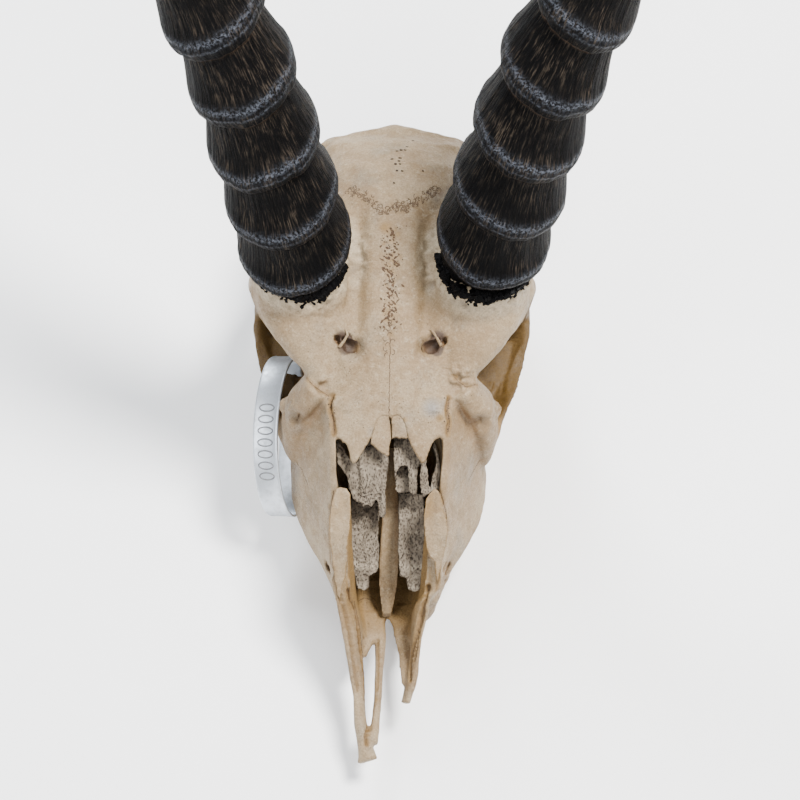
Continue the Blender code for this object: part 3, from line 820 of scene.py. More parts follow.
def stretched(tree, vector, scale):
    node = tree.nodes.new("ShaderNodeMapping")
    node.inputs["Scale"].default_value = scale
    tree.links.new(vector, node.inputs["Vector"])
    return node.outputs["Vector"]


CREAM = (0.272, 0.201, 0.118)
TAN = (0.185, 0.117, 0.054)
PALE_GREY = (0.18, 0.15, 0.108)
CHALK = (0.40, 0.335, 0.235)
GOLDEN = (0.20, 0.118, 0.038)
ORANGE_BROWN = (0.085, 0.045, 0.006)
# Painted shade for pits, dents and holes in the bone.
PIT_SHADE_BROWN = (0.042, 0.021, 0.009)
CRACK_BROWN = (0.075, 0.035, 0.012)
# Painted occlusion shade: the brown that closed-in bone is darkened towards.
OCCLUSION_SHADE_BROWN = (0.15, 0.075, 0.026)
SMUDGE_GREY = (0.17, 0.17, 0.17)
POROUS_DARK = (0.10, 0.078, 0.052)
POROUS_PALE = (0.18, 0.145, 0.105)
POROUS_RIM = (0.33, 0.275, 0.20)
POROUS_STREAK = (0.16, 0.12, 0.085)
# Painted occlusion shade for closed-in places of the porous bone.
POROUS_OCCLUSION_SHADE = (0.08, 0.052, 0.03)
PORE_BROWN = (0.055, 0.036, 0.024)
# Painted shade for the pits of the porous bone.
POROUS_PIT_SHADE = (0.055, 0.037, 0.024)
HORN_BLACK = (0.0011, 0.001, 0.0012)
HORN_BROWN = (0.044, 0.034, 0.025)
HORN_GROOVE = (0.001, 0.001, 0.0011)
# Painted highlight on the horn's crests.
HORN_PAINTED_HIGHLIGHT = (0.105, 0.115, 0.14)
HORN_RIM = (0.08, 0.053, 0.034)
# Painted shadow along the sheath's frayed base.
HORN_HEM_SHADOW = (0.005, 0.004, 0.0035)
METAL_PALE = (0.50, 0.53, 0.57)
METAL_SCUFFED = (0.39, 0.41, 0.43)


def bone_material(name, base=CREAM, second=TAN, marked=True):
    made, tree, shader = nodes_of(name)
    place = object_space(tree)
    broad = noise_node(tree, place, 34, 5, 0.6)
    middle = noise_node(tree, place, 170, 6, 0.68)
    fine = noise_node(tree, place, 1300, 6, 0.85)
    colour = blend_colour(tree, times(tree, range_node(tree, broad, 0.42, 0.6), 0.72), base, second)
    greys = noise_node(tree, place, 60, 4, 0.55)
    colour = blend_colour(tree, times(tree, range_node(tree, greys, 0.5, 0.7), 0.55), colour, PALE_GREY)
    colour = blend_colour(tree, times(tree, range_node(tree, middle, 0.48, 0.68), 0.42), colour, second)
    pale = range_node(tree, noise_node(tree, place, 380, 5, 0.75), 0.5, 0.72)
    colour = blend_colour(tree, times(tree, pale, 0.45), colour, CHALK)
    drawn = stretched(tree, place, (1.0, 0.3, 0.5))
    veins = noise_node(tree, drawn, 95, 5, 0.6)
    hairline = times(tree, range_node(tree, veins, 0.492, 0.5), range_node(tree, veins, 0.5, 0.508, 1.0, 0.0))
    hairline = times(tree, hairline, range_node(tree, greys, 0.46, 0.6, 0.0, 0.42))
    colour = blend_colour(tree, hairline, colour, CRACK_BROWN)
    smudge = noise_node(tree, drawn, 210, 6, 0.7)
    colour = blend_colour(tree, times(tree, range_node(tree, smudge, 0.52, 0.7), 0.4), colour, second)
    tiny = times(tree, range_node(tree, cells_node(tree, place, 1900), 0.05, 0.25, 1.0, 0.0), 0.45)
    colour = blend_colour(tree, tiny, colour, TAN)
    if marked:
        marks = attribute_parts(tree, "marks")
        tints = attribute_parts(tree, "tints")
        colour = blend_colour(tree, times(tree, marks[2], 0.8), colour, SMUDGE_GREY)
        colour = blend_colour(tree, times(tree, tints[1], 0.75), colour, CHALK)
        # Painted occlusion shade: browner where the skin is closed in.
        colour = blend_colour(tree, range_node(tree, marks[1], 0.12, 0.85, 0.0, 0.85), colour, OCCLUSION_SHADE_BROWN)
        # Orange and golden-brown stain; in the orbits, the nasal chamber, the troughs and the fossae above
        # the eyes it carries painted shade.
        colour = blend_colour(tree, range_node(tree, tints[0], 0.0, 0.55, 0.0, 0.9), colour, GOLDEN)
        colour = blend_colour(tree, range_node(tree, tints[0], 0.5, 0.92), colour, ORANGE_BROWN)
        # Painted shade in pits, dents and holes.
        colour = blend_colour(tree, tints[2], colour, PIT_SHADE_BROWN)
        colour = blend_colour(tree, marks[0], colour, CRACK_BROWN)
    speck = range_node(tree, cells_node(tree, place, 680), 0.05, 0.2, 1.0, 0.0)
    gate = range_node(tree, noise_node(tree, place, 120, 3, 0.6), 0.46, 0.6)
    pores = times(tree, speck, gate)
    colour = blend_colour(tree, times(tree, pores, 0.8), colour, CRACK_BROWN)
    shade = blend_colour(tree, range_node(tree, fine, 0.38, 0.6), (0.68, 0.645, 0.6), (1.0, 1.0, 1.0))
    tree.links.new(blend_colour(tree, 1.0, colour, shade, "MULTIPLY"), shader.inputs["Base Color"])
    tree.links.new(range_node(tree, middle, 0.3, 0.7, 0.5, 0.7), shader.inputs["Roughness"])
    shader.inputs["Specular IOR Level"].default_value = 0.4
    rough = bump_node(tree, noise_node(tree, place, 420, 6, 0.7), 0.0011, 0.6)
    tree.links.new(bump_node(tree, pores, -0.0006, 0.7, rough), shader.inputs["Normal"])
    return made


def porous_material(name):
    made, tree, shader = nodes_of(name)
    place = object_space(tree)
    drawn = stretched(tree, place, (1, 0.45, 0.6))
    broad = noise_node(tree, place, 110, 5, 0.6)
    colour = blend_colour(tree, range_node(tree, broad, 0.35, 0.68), POROUS_DARK, POROUS_PALE)
    marks = attribute_parts(tree, "marks")
    tints = attribute_parts(tree, "tints")
    colour = blend_colour(tree, tints[1], colour, POROUS_RIM)
    small = range_node(tree, cells_node(tree, drawn, 1500), 0.14, 0.46, 1.0, 0.0)
    gate = range_node(tree, noise_node(tree, place, 240, 3, 0.6), 0.28, 0.5)
    pores = times(tree, small, gate)
    streak = range_node(tree, noise_node(tree, drawn, 1300, 4, 0.65), 0.4, 0.65, 0.0, 0.45)
    colour = blend_colour(tree, streak, colour, POROUS_STREAK)
    # Painted occlusion shade: darker where the skin is closed in.
    colour = blend_colour(tree, range_node(tree, marks[1], 0.3, 1.0, 0.0, 0.4), colour, POROUS_OCCLUSION_SHADE)
    colour = blend_colour(tree, times(tree, pores, 0.8), colour, PORE_BROWN)
    # Painted shade in the pits.
    colour = blend_colour(tree, times(tree, tints[2], 0.8), colour, POROUS_PIT_SHADE)
    tree.links.new(colour, shader.inputs["Base Color"])
    shader.inputs["Roughness"].default_value = 0.8
    rough = bump_node(tree, noise_node(tree, drawn, 1100, 5, 0.7), 0.0007, 0.9)
    tree.links.new(bump_node(tree, pores, -0.0007, 0.9, rough), shader.inputs["Normal"])
    return made


def horn_material(name):
    made, tree, shader = nodes_of(name)
    grain = tree.nodes.new("ShaderNodeAttribute")
    grain.attribute_name = "grain"
    along = grain.outputs["Vector"]
    place = object_space(tree)
    fibre = noise_node(tree, along, 2300, 4, 0.65)
    broad_fibre = noise_node(tree, along, 800, 3, 0.55)
    marks = attribute_parts(tree, "marks")
    patch = noise_node(tree, place, 90, 4, 0.6)
    brown = times(tree, range_node(tree, fibre, 0.49, 0.63), range_node(tree, patch, 0.38, 0.66, 0.12, 1.0))
    colour = blend_colour(tree, brown, HORN_BLACK, HORN_BROWN)
    deep = times(tree, range_node(tree, broad_fibre, 0.5, 0.62), 0.8)
    colour = blend_colour(tree, deep, colour, HORN_GROOVE)
    # Painted highlight on the ring crests, broken up by noise.
    highlight_speckle = noise_node(tree, place, 1000, 4, 0.75)
    crest_glint = times(tree, marks[2], range_node(tree, highlight_speckle, 0.42, 0.62, 0.0, 0.8))
    colour = blend_colour(tree, crest_glint, colour, HORN_PAINTED_HIGHLIGHT)
    rim = times(tree, marks[0], range_node(tree, noise_node(tree, place, 500, 3, 0.6), 0.35, 0.6, 0.2, 0.9))
    colour = blend_colour(tree, rim, colour, HORN_RIM)
    # Painted shadow darkening the sheath towards its base.
    colour = blend_colour(tree, marks[1], colour, HORN_HEM_SHADOW)
    tree.links.new(colour, shader.inputs["Base Color"])
    shader.inputs["Specular IOR Level"].default_value = 0.055
    worn = times(tree, marks[2], range_node(tree, noise_node(tree, place, 1300, 4, 0.75), 0.42, 0.58))
    tree.links.new(range_node(tree, worn, 0.0, 1.0, 0.55, 0.2), shader.inputs["Roughness"])
    rough = bump_node(tree, fibre, 0.0012, 0.9)
    rough = bump_node(tree, broad_fibre, 0.002, 0.7, rough)
    pitted = noise_node(tree, place, 1500, 4, 0.7)
    tree.links.new(bump_node(tree, pitted, 0.0003, 0.4, rough), shader.inputs["Normal"])
    return made


def metal_material(name):
    made, tree, shader = nodes_of(name)
    place = object_space(tree)
    brushed = noise_node(tree, stretched(tree, place, (1, 14, 1)), 300, 4, 0.6)
    scuff = noise_node(tree, place, 220, 5, 0.7)
    colour = blend_colour(tree, range_node(tree, scuff, 0.4, 0.7), METAL_PALE, METAL_SCUFFED)
    tree.links.new(colour, shader.inputs["Base Color"])
    shader.inputs["Metallic"].default_value = 0.8
    tree.links.new(range_node(tree, scuff, 0.35, 0.7, 0.34, 0.52), shader.inputs["Roughness"])
    tree.links.new(bump_node(tree, brushed, 0.00006, 0.4), shader.inputs["Normal"])
    return made


def plain_material(name, low, high, roughness, scale):
    made, tree, shader = nodes_of(name)
    grain = noise_node(tree, object_space(tree), scale, 4, 0.6)
    colour = blend_colour(tree, range_node(tree, grain, 0.3, 0.7), low, high)
    tree.links.new(colour, shader.inputs["Base Color"])
    shader.inputs["Roughness"].default_value = roughness
    tree.links.new(bump_node(tree, grain, 0.0003, 0.4), shader.inputs["Normal"])
    return made


def dress(obj, name, finish, material_slot, *nodes, smooth=True):
    """Brings a piece to metres in the part's frame, gives it its name and finish, hangs it on the root frame
    and hides the solids that it replaces.
    """
    obj.name = name
    obj.data.transform(Matrix.Scale(MM, 4) @ Matrix.Translation(-HOME))
    obj.data.materials.clear()
    obj.data.materials.append(finish)
    if smooth:
        obj.data.shade_smooth()
    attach(obj, "root")
    if nodes:
        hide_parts(*nodes)
    return obj


# The fused bone.

CLAY_VOXEL = 1.0
SKULL_VOXEL = 0.72
BROKEN_INSET = 4.0
WHOLE_INSET = 1.9


def bone_skin():
    """The skull's fused bone, hollowed out, with the premaxillae and the frontals' broken edges."""
    clay = bmesh.new()
    add_braincase(clay)
    add_frontal_shield(clay)
    add_nuchal_crest(clay)
    add_muzzle(clay)
    for side, _ in SIDES:
        add_horn_pedicle(clay, side)
        add_orbit_frame(clay, side)
        add_skull_base(clay, side)
    skull = remesh(mesh_object("skull", clay), CLAY_VOXEL, 4)
    for side, _ in SIDES:
        boolean(skull, "DIFFERENCE", orbit_cutter(side))
        boolean(skull, "DIFFERENCE", horn_seat(side))
    boolean(skull, "DIFFERENCE", nasal_cutter())
    boolean(skull, "DIFFERENCE", foramen_cutters())
    boolean(skull, "DIFFERENCE", palate_notch())
    extra = [premaxilla(side, broken=side > 0) for side, _ in SIDES]
    extra += [plate(outline, 0.0, PLATE_THICKNESS) for outline in FRONTAL_OUTLINES]
    joined(skull, extra)
    skull = remesh(skull, SKULL_VOXEL, 1)
    return slimmed_front(skull)


def slimmed_front(skull):
    """Draws the outer edges of the two premaxillae in, more on the broken one."""
    count = len(skull.data.vertices)
    flat = np.empty(count * 3, dtype=np.float32)
    skull.data.vertices.foreach_get("co", flat)
    points = flat.reshape(-1, 3)
    x, front = points[:, 0], -points[:, 1]
    broken = BROKEN_INSET * step_up(x, 8, 17) * step_up(front, 113.5, 118) * (1 - step_up(front, 128, 148))
    whole = WHOLE_INSET * step_up(-x, 5, 11) * step_up(front, 108, 126) * (1 - 0.8 * step_up(front, 148, 162))
    points[:, 0] = x - broken + whole
    skull.data.vertices.foreach_set("co", points.ravel())
    skull.data.update()
    return skull


SUPRAORBITAL_REACH = (3.0, 4.6, 5.8)
BACK_EDGE_RISE = 3.0
CHEEK_INSET = 4.6
TROUGH_DEPTH = 3.2


def relief(skin):
    """Troughs, ridges, weathering, stains and painted shade over the whole skull."""
    x, y, _ = skin.points.T
    away = np.abs(x)
    top = step_up(skin.normals[:, 2], 0.3, 0.8)
    span = step_up(y, -36, -20) * (1 - step_up(y, 12, 34))
    trough = bump_window(away, 14.2, 4.0) * span * top
    skin.lift -= TROUGH_DEPTH * trough
    skin.lift += 1.5 * bump_window(away, 26.0, 7.0) * step_up(y, -38, -24) * (1 - step_up(y, -16, -6)) * top
    # Painted shade in the troughs beside the pedicles.
    skin.masks["orange"] += 0.16 * trough
    skin.lift += 0.6 * bump_window(away, 0, 8.0) * span * top
    for size, height, seed in ((14.0, 0.45, 1), (5.0, 0.22, 2), (1.8, 0.07, 3)):
        skin.lift += height * value_noise(skin.points, size, seed)
    for side, _ in SIDES:
        crumbled_seat(skin, side)
        eye_stain_and_shade(skin, side)
    fitted_edges(skin)
    chamber_shade(skin)


def crumbled_seat(skin, side):
    """Rough chalky bone under the rim of one horn sheath."""
    seat = np.array(mirrored(HORN_BASE, side))
    below = (skin.points - seat) @ np.array(base_normal(side))
    radial = np.linalg.norm(skin.points[:, :2] - seat[:2], axis=1)
    near = step_up(below, -11, -1.5) * (1 - step_up(radial, 24, 29))
    rough = value_noise(skin.points, 1.7, 4) + 0.8 * value_noise(skin.points, 3.4, 5)
    skin.lift += near * (1.05 * rough - 0.2)
    skin.mark("chalk", near * 0.9)
    # Painted shade in the low spots of the crumbled bone.
    skin.mark("pit", near * np.clip(-rough - 0.55, 0, 1) * 0.8)


def eye_stain_and_shade(skin, side):
    """Orange-brown stain deepened with painted shade in one orbit and on the inner face of the cheekbone, and
    painted shade in the pit above it.
    """
    x, y, z = skin.points.T
    away = np.abs(x)
    orbit = (skin.points - np.array(mirrored(ORBIT_CENTRE, side))) / ORBIT_RADII
    inside = 1 - step_up(np.linalg.norm(orbit, axis=1), 1.02, 1.1)
    # Orange-brown stain deepened as painted shade inside the orbit.
    skin.mark("orange", inside * step_up(away, 20, 34) * 0.95)
    centre = np.array(SUPRAORBITAL_PIT) * (side, 1, 1)
    within = np.linalg.norm((skin.points - centre) / SUPRAORBITAL_REACH, axis=1)
    facing = np.einsum("ij,ij->i", centre - skin.points, skin.normals) / 4.0
    # Painted shade inside the pit above the eye.
    skin.mark("pit", (1 - step_up(within, 0.95, 1.1)) * step_up(facing, 0.05, 0.4))
    # Orange-brown stain deepened as painted shade on the cheekbone, kept off its outward face.
    jugal = bump_window(away, 55, 15) * bump_window(y, -10, 32) * bump_window(z, 44, 19) * 1.5
    outward = 1 - 0.85 * step_up(skin.normals[:, 0] * side, 0.55, 0.85)
    skin.mark("orange", (2.2 * jugal).clip(0, 1) * outward)


def fitted_edges(skin):
    """The braincase's back edge raised and the left cheek drawn in, to the photograph's outline."""
    x, y, z = skin.points.T
    facing_up_image = skin.normals @ np.array([0.0, 0.866, 0.5])
    back = bump_window(np.abs(x), 28, 7) * step_up(y, 25, 40) * step_up(z, 60, 72)
    skin.lift += BACK_EDGE_RISE * step_up(facing_up_image, 0.6, 0.9) * back
    cheek = bump_window(y, -36, 14) * bump_window(z, 38, 15) * step_up(x, 36, 43)
    skin.lift -= CHEEK_INSET * cheek * step_up(skin.normals[:, 0], 0.1, 0.5)


def chamber_shade(skin):
    """Painted shade: dark in the foramen magnum, and golden brown inside the nasal chamber, stronger lower
    down.
    """
    x, y, z = skin.points.T
    away = np.abs(x)
    tunnel = np.linalg.norm((skin.points - np.array(FORAMEN_CENTRE)) / np.array(FORAMEN_RADII), axis=1)
    skin.mark("pit", (1 - step_up(tunnel, 1.0, 1.08)) * (1 - step_up(y, 80, 87)))
    inward = -skin.normals[:, 0] * np.sign(x)
    chamber = np.maximum(step_up(inward, 0.1, 0.5), 1 - step_up(away, 12, 15))
    chamber *= (1 - step_up(away, 15, 19)) * step_up(y, -134, -108) * (1 - step_up(y, -54, -46))
    chamber *= step_up(z, 10, 20) * (1 - step_up(z, 78, 86))
    skin.mark("orange", 0.6 * step_up(84 - z, 2, 14) * chamber)


# Image x and y, radius in millimetres and strength of each spot.
GREY_SPOTS = (
    (432, 408, 6, 0.9), (300, 430, 4, 0.3), (281, 417, 3, 0.6), (372, 432, 3, 0.4),
    (352, 352, 6, 0.25), (352, 700, 4, 0.3), (342, 650, 4, 0.3), (445, 405, 4, 0.5),
    (297, 470, 7, 0.3), (472, 470, 8, 0.25),
)
# The spots at (351, 345), (430, 345), (358, 350) and (423, 350) are painted shade in the fossae above the
# eyes.
ORANGE_SPOTS = (
    (331, 425, 2.6, 0.5), (449, 425, 3, 0.6), (440, 418, 3, 0.5), (346, 300, 4, 0.2),
    (405, 420, 2, 0.4), (351, 345, 3.4, 0.5), (430, 345, 3.4, 0.5), (358, 350, 3, 0.2),
    (423, 350, 3, 0.2), (386, 228, 5, 0.5), (391, 197, 6, 0.25), (358, 200, 7, 0.12),
    (420, 200, 7, 0.12), (370, 690, 2, 0.6), (362, 650, 2, 0.6), (376, 700, 2, 0.4),
    (430, 640, 3, 0.4), (421, 665, 3, 0.4), (455, 378, 2, 0.6), (297, 372, 3, 0.6),
    (478, 425, 4, 0.3), (435, 530, 2.4, 0.5), (446, 520, 2, 0.5), (340, 604, 3, 0.2),
    (346, 622, 3, 0.25), (352, 645, 3, 0.25), (357, 668, 3, 0.3), (360, 690, 3, 0.2),
    (426, 600, 3, 0.3), (419, 620, 3, 0.3), (415, 640, 3, 0.3), (412, 662, 2, 0.3),
    (371, 728, 4, 0.25), (360, 612, 4, 0.2), (369, 622, 4, 0.2), (365, 640, 3, 0.25),
    (398, 604, 4, 0.15), (404, 622, 4, 0.2), (292, 545, 8, 0.1), (480, 520, 8, 0.1),
    (318, 470, 9, 0.08), (300, 500, 7, 0.1), (462, 500, 7, 0.08),
)
ROUGH_SPOTS = (
    (300, 378, 5, 0.8), (290, 405, 5, 0.7), (283, 412, 4, 0.7), (466, 380, 5, 0.9),
    (490, 392, 5, 0.7), (496, 412, 5, 0.6), (330, 410, 2.6, 0.8), (449, 412, 2.6, 0.8),
    (322, 388, 4, 0.5), (452, 376, 4, 0.6), (448, 575, 4, 0.9), (331, 575, 3, 0.7),
    (436, 600, 4, 0.9),
)
DENTS = (
    # image x, y, radius and depth in millimetres, for fossae and small hollows
    (297, 421, 5.5, 3.6), (481, 424, 6, 3.2), (354, 346, 5.0, 2.7), (427, 346, 5.0, 2.7),
    (348, 336, 1.7, 1.6), (432, 336, 1.7, 1.6), (350, 350, 4.5, 1.4), (431, 350, 4.5, 1.4),
    (359, 354, 5.5, 0.9), (421, 354, 5.5, 0.9), (300, 372, 3, 1.0), (458, 378, 2.6, 1.2),
    (319, 388, 3, 0.6), (335, 573, 3.4, 2.0), (447, 569, 3.4, 2.0), (436, 525, 5, 0.9),
    (339, 520, 5, 0.4), (329, 470, 7, 0.5),
)


GROOVES = (
    # image path, radius and depth in millimetres, strength of the stain
    (((333, 396), (330, 408), (333, 420), (334, 434)), 1.5, 0.8, 0.75),
    (((449, 398), (447, 410), (449, 422), (448, 434)), 1.5, 0.8, 0.75),
    (((334, 490), (330, 508), (330, 545), (334, 580), (340, 600)), 1.1, 0.5, 0.35),
    (((440, 492), (446, 512), (448, 532), (440, 560), (436, 590)), 1.1, 0.5, 0.5),
    (((436, 500), (432, 520), (436, 545)), 1.2, 0.5, 0.4),
    (((348, 590), (355, 610), (357, 625), (361, 652), (364.6, 675), (366, 700)), 1.3, 1.6, 1.0),
    (((341, 596), (348, 622), (353, 650), (359, 690)), 1.4, 1.4, 0.4),
    (((429, 586), (425, 600), (420, 615), (414.6, 640), (411, 662), (410, 680)), 1.3, 1.6, 0.9),
    (((424, 610), (417.6, 640), (414, 660)), 1.3, 1.2, 0.4),
    (((371, 712), (368, 728), (367, 744)), 1.6, 1.4, 0.7),
    (((378, 640), (378, 665), (377, 690)), 1.0, 0.7, 0.5),
    (((300, 372), (310, 382), (322, 392), (330, 396)), 1.2, 0.5, 0.4),
    (((478, 384), (466, 386), (458, 380), (452, 376)), 1.2, 0.5, 0.4),
)
NOSTRIL_HOLES = ((329, 566.5), (330, 569), (446, 565.5), (444.5, 568.5))
SUPRAORBITAL_SHADES = ((343, 338), (438, 338), (347, 342), (433.5, 342))
# The middle suture leans a little in the image.
MIDLINE_X = 391.6
MIDLINE_LEAN = 0.0165


def midline_x(y, start=MIDLINE_X):
    """Image x of the middle suture at an image row."""
    return start - (y - 200) * MIDLINE_LEAN


def sutures(skin):
    """Dents, stains and shallow grooves at the places where the photograph shows them."""
    # Each dent is darkened with painted shade, more for deeper ones.
    for x, y, radius, depth in DENTS:
        skin.spot_seen(x, y, radius, depth, "pit", min(0.45, depth * 0.2))
    for x, y, radius, strength in GREY_SPOTS:
        skin.spot_seen(x, y, radius, 0.0, "grey", strength)
    for x, y, radius, strength in ORANGE_SPOTS:
        skin.spot_seen(x, y, radius, 0.0, "orange", strength)
    for px, py, reach, height in ROUGH_SPOTS:
        point, _ = skin.seen(px, py)
        if point is None:
            continue
        near = bump_window(np.linalg.norm(skin.points - np.array(point), axis=1), 0, reach)
        grit = value_noise(skin.points, 1.5, 31) + 0.7 * value_noise(skin.points, 3.2, 32)
        skin.lift += 1.15 * height * near * grit
        # Painted shade in the low spots of the grit.
        skin.mark("pit", near * np.clip(-grit - 0.7, 0, 1) * 0.7)
    # Painted shade in the nostril holes.
    for px, py in NOSTRIL_HOLES:
        skin.spot_seen(px, py, 2.2, 1.9, "pit", 1.0)
    for px, py in SUPRAORBITAL_SHADES:
        skin.spot_seen(px, py, 4.6, 0.0, "pit", 1.7)
    for corners, radius, depth, strength in GROOVES:
        for x, y in path_between(corners, 1.0, 0.5):
            point, _ = skin.seen(x, y)
            if point:
                skin.spot(point, radius, depth * 0.35, "crack", strength * dice.uniform(0.5, 1.0) * 0.75)
                skin.spot(point, radius * 1.5, 0.0, "orange", strength * 0.8)
    for along in np.linspace(0, 116, 70, endpoint=False).tolist():
        x = MIDLINE_X - along * MIDLINE_LEAN + dice.gauss(1.2, 3.8)
        y = 222 + along + dice.uniform(-2, 2)
        skin.spot_seen(x, y, dice.uniform(1.2, 2.4), 0.35, "orange", dice.uniform(0.1, 0.35))


PLAIN_SUTURES = (
    ((389.2, 418), (388.6, 414), (384, 415), (379, 417.6), (375.8, 424), (372, 436)),
    ((390.2, 418), (393, 416), (397, 415), (401, 417.6), (405, 425), (408, 437)),
    ((333.6, 396), (330.6, 408), (333.4, 420), (334.4, 436)),
    ((449.4, 398), (447.4, 410), (449.4, 422), (448, 432)),
    ((334, 490), (330.4, 508), (330, 545)),
    ((440.6, 492), (446, 512), (447.6, 532)),
    ((434, 505), (431.6, 520), (434, 540)),
    ((308, 380), (314, 386), (322, 392), (329, 396)),
    ((478, 384), (466, 387), (458, 381), (453, 376)),
    ((296, 462), (302, 470), (308, 486)),
    ((480, 460), (474, 470), (468, 482)),
    ((358, 601), (364, 598), (371, 600)),
    ((354, 600), (360, 630), (363, 660), (365, 690), (366, 702)),
    ((389, 614), (386, 618), (384.5, 622)),
)
SCRIBBLES_PER_CLUMP = 11
# Image x and y of each clump of the coronal suture, and its half width and half height.
CORONAL_CLUMPS = (
    (351, 189, 6, 5), (356, 191, 7, 6), (363, 194, 7, 6), (370, 200, 6, 6), (377, 207, 6, 6),
    (384, 210, 6, 5), (392, 209, 5, 4), (400, 205, 6, 7), (405, 210, 5, 4), (412, 203, 7, 6),
    (418, 200, 7, 7), (425, 195, 7, 6), (431, 193, 6, 6), (436, 191, 4, 5),
)
CROWN_PINHOLES = (
    (413, 140.6), (407, 146.7), (397, 151), (401, 150), (405, 150), (392, 159), (400, 158),
)
SMALL_CROWN_PINHOLES = (
    (395.5, 164), (400, 164), (397, 170.6), (402, 171), (394, 183), (399, 161), (423, 171),
)


def suture_paths():
    """The front half of the middle suture and the plain sutures, as wavering image paths."""
    midline = [(midline_x(y, 392.5), y) for y in range(336, 420, 4)]
    paths = [path_between(midline, 1.2, 0.45)]
    return paths + [path_between(path, 1.2, 0.35) for path in PLAIN_SUTURES]


def coronal_scribbles():
    """Small crossed arcs in the clumps of the coronal suture."""
    scribbles = []
    for x0, y0, wide, high in CORONAL_CLUMPS:
        for _ in range(SCRIBBLES_PER_CLUMP):
            x = x0 + dice.uniform(-1, 1) * wide * 0.75
            y = y0 + dice.uniform(-1, 1) * high * 0.75
            radius = dice.uniform(1.0, 3.2)
            first = dice.uniform(0, 2 * math.pi)
            sweep = dice.choice((-1, 1)) * dice.uniform(2.0, 4.6)
            squash = dice.uniform(0.45, 1.0)
            lean = dice.uniform(0, math.pi)
            arc = []
            for k in range(11):
                turn = first + sweep * k / 10
                a, b = radius * math.cos(turn), radius * squash * math.sin(turn)
                a, b = a + dice.uniform(-0.12, 0.12), b + dice.uniform(-0.12, 0.12)
                across = a * math.cos(lean) - b * math.sin(lean)
                down = a * math.sin(lean) + b * math.cos(lean)
                arc.append((x + across, y + down))
            scribbles.append(arc)
    return scribbles


def frontal_strokes():
    """Short bowed strokes on both sides of the back half of the middle suture."""
    strokes = []
    for k in range(104):
        y = 228 + k * 0.98 + dice.uniform(-1, 1)
        x = midline_x(y) + dice.gauss(1.2, 4.4)
        reach = dice.uniform(0.5, 2.8) * (1.4 if 255 < y < 322 else 0.9)
        lean = dice.choice((-1, 1, 1)) * dice.uniform(0.5, 1.1)
        bow = dice.uniform(-0.7, 0.7)
        a = (x - reach * math.cos(lean), y - reach * math.sin(lean))
        b = (x + reach * math.cos(lean), y + reach * math.sin(lean))
        strokes.append([a, (x + bow, y + dice.uniform(-0.4, 0.4)), b])
    return strokes


def thin_curls():
    """Faint curls where the strokes end."""
    curls = []
    for k in range(12):
        y = 318 + k * 3.4
        x = 389.6 + dice.uniform(-4.5, 4.5)
        first = dice.uniform(0, 6.28)
        turns = [first + step * 0.5 for step in range(8)]
        curls.append([(x + 2.2 * math.cos(turn), y + 2.6 * math.sin(turn)) for turn in turns])
    return curls


def pinhole_spots():
    """Image x, y and radius in millimetres of the open pinholes."""
    spots = [(x, y, dice.uniform(0.75, 1.0)) for x, y in CROWN_PINHOLES]
    spots += [(x, y, dice.uniform(0.7, 0.9)) for x, y in SMALL_CROWN_PINHOLES]
    for k in range(64):
        y = 226 + k * 1.6
        spots.append((midline_x(y) + dice.gauss(1.2, 4.6), y, dice.uniform(0.22, 0.46)))
    for k in range(14):
        spots.append((330 + dice.uniform(-3, 5), 396 + k * 2.8, dice.uniform(0.25, 0.45)))
        spots.append((448 + dice.uniform(-4, 3), 398 + k * 2.6, dice.uniform(0.25, 0.45)))
    for _ in range(60):
        x, y = dice.uniform(285, 500), dice.uniform(300, 560)
        spots.append((x, y, dice.uniform(0.16, 0.3)))
    return spots


def surface_lines(skin):
    """Thin dark sutures, the pitted middle line and pinholes, as strands and lenses on the skin."""
    lines = suture_paths()
    scribbles = coronal_scribbles()
    strokes = frontal_strokes()
    scribbles += thin_curls()
    spots = pinhole_spots()
    fine = threads("suture_lines", skin, lines, 0.2)
    loops = threads("coronal_suture", skin, scribbles, 0.27)
    bars = threads("frontal_suture_pits", skin, strokes, 0.66)
    return fine, loops, bars, dots("pinholes", skin, spots)


# Loose bones inside the nose.


def on_level(px, py, levels):
    """The point that an image point shows on a slope whose height follows the image row."""
    return at_height(px, py, float(np.interp(py, *zip(*levels))))


def slab(bm, outline, levels, thickness, jitter):
    """A ragged slab under an outline in the image, on a slope, with its sides along the line of sight."""
    corners = [on_level(x, y, levels) for x, y in closed_path(outline, 1.6, jitter)]
    back = sight_line(400, 500)[1] * thickness
    loft(bm, [corners, [corner + back for corner in corners]])


UPPER_LEVELS = ((430, 77), (458, 75), (486, 70), (520, 62))
FLAP_LEVELS = ((430, 76), (460, 73), (505, 66))
LOWER_LEVELS = ((495, 58), (520, 55), (561, 47), (592, 39))
SCROLLS = {
    -1: (
        (
            (359, 440), (388, 440), (388, 466), (385.6, 480), (385.6, 513), (384, 517),
            (379, 516), (378, 500),
            (375.6, 498), (374, 503), (371, 507), (367, 504), (363, 507), (360.6, 500), (359.6, 480),
        ),
        UPPER_LEVELS,
        7.0,
        0.5,
    ),
    1: (
        (
            (394.4, 436), (418, 440), (420, 458), (417.4, 470), (417, 490), (416, 495.4), (412.6, 494),
            (409, 490),
            (408.4, 470), (406.5, 464.6), (401, 465), (397.6, 470), (394.6, 478), (394, 460),
        ),
        UPPER_LEVELS,
        5.0,
        0.4,
    ),
}
HOLLOW_SCROLL = ((394.5, 462), (410, 462), (410, 491), (399, 493), (395.4, 490))
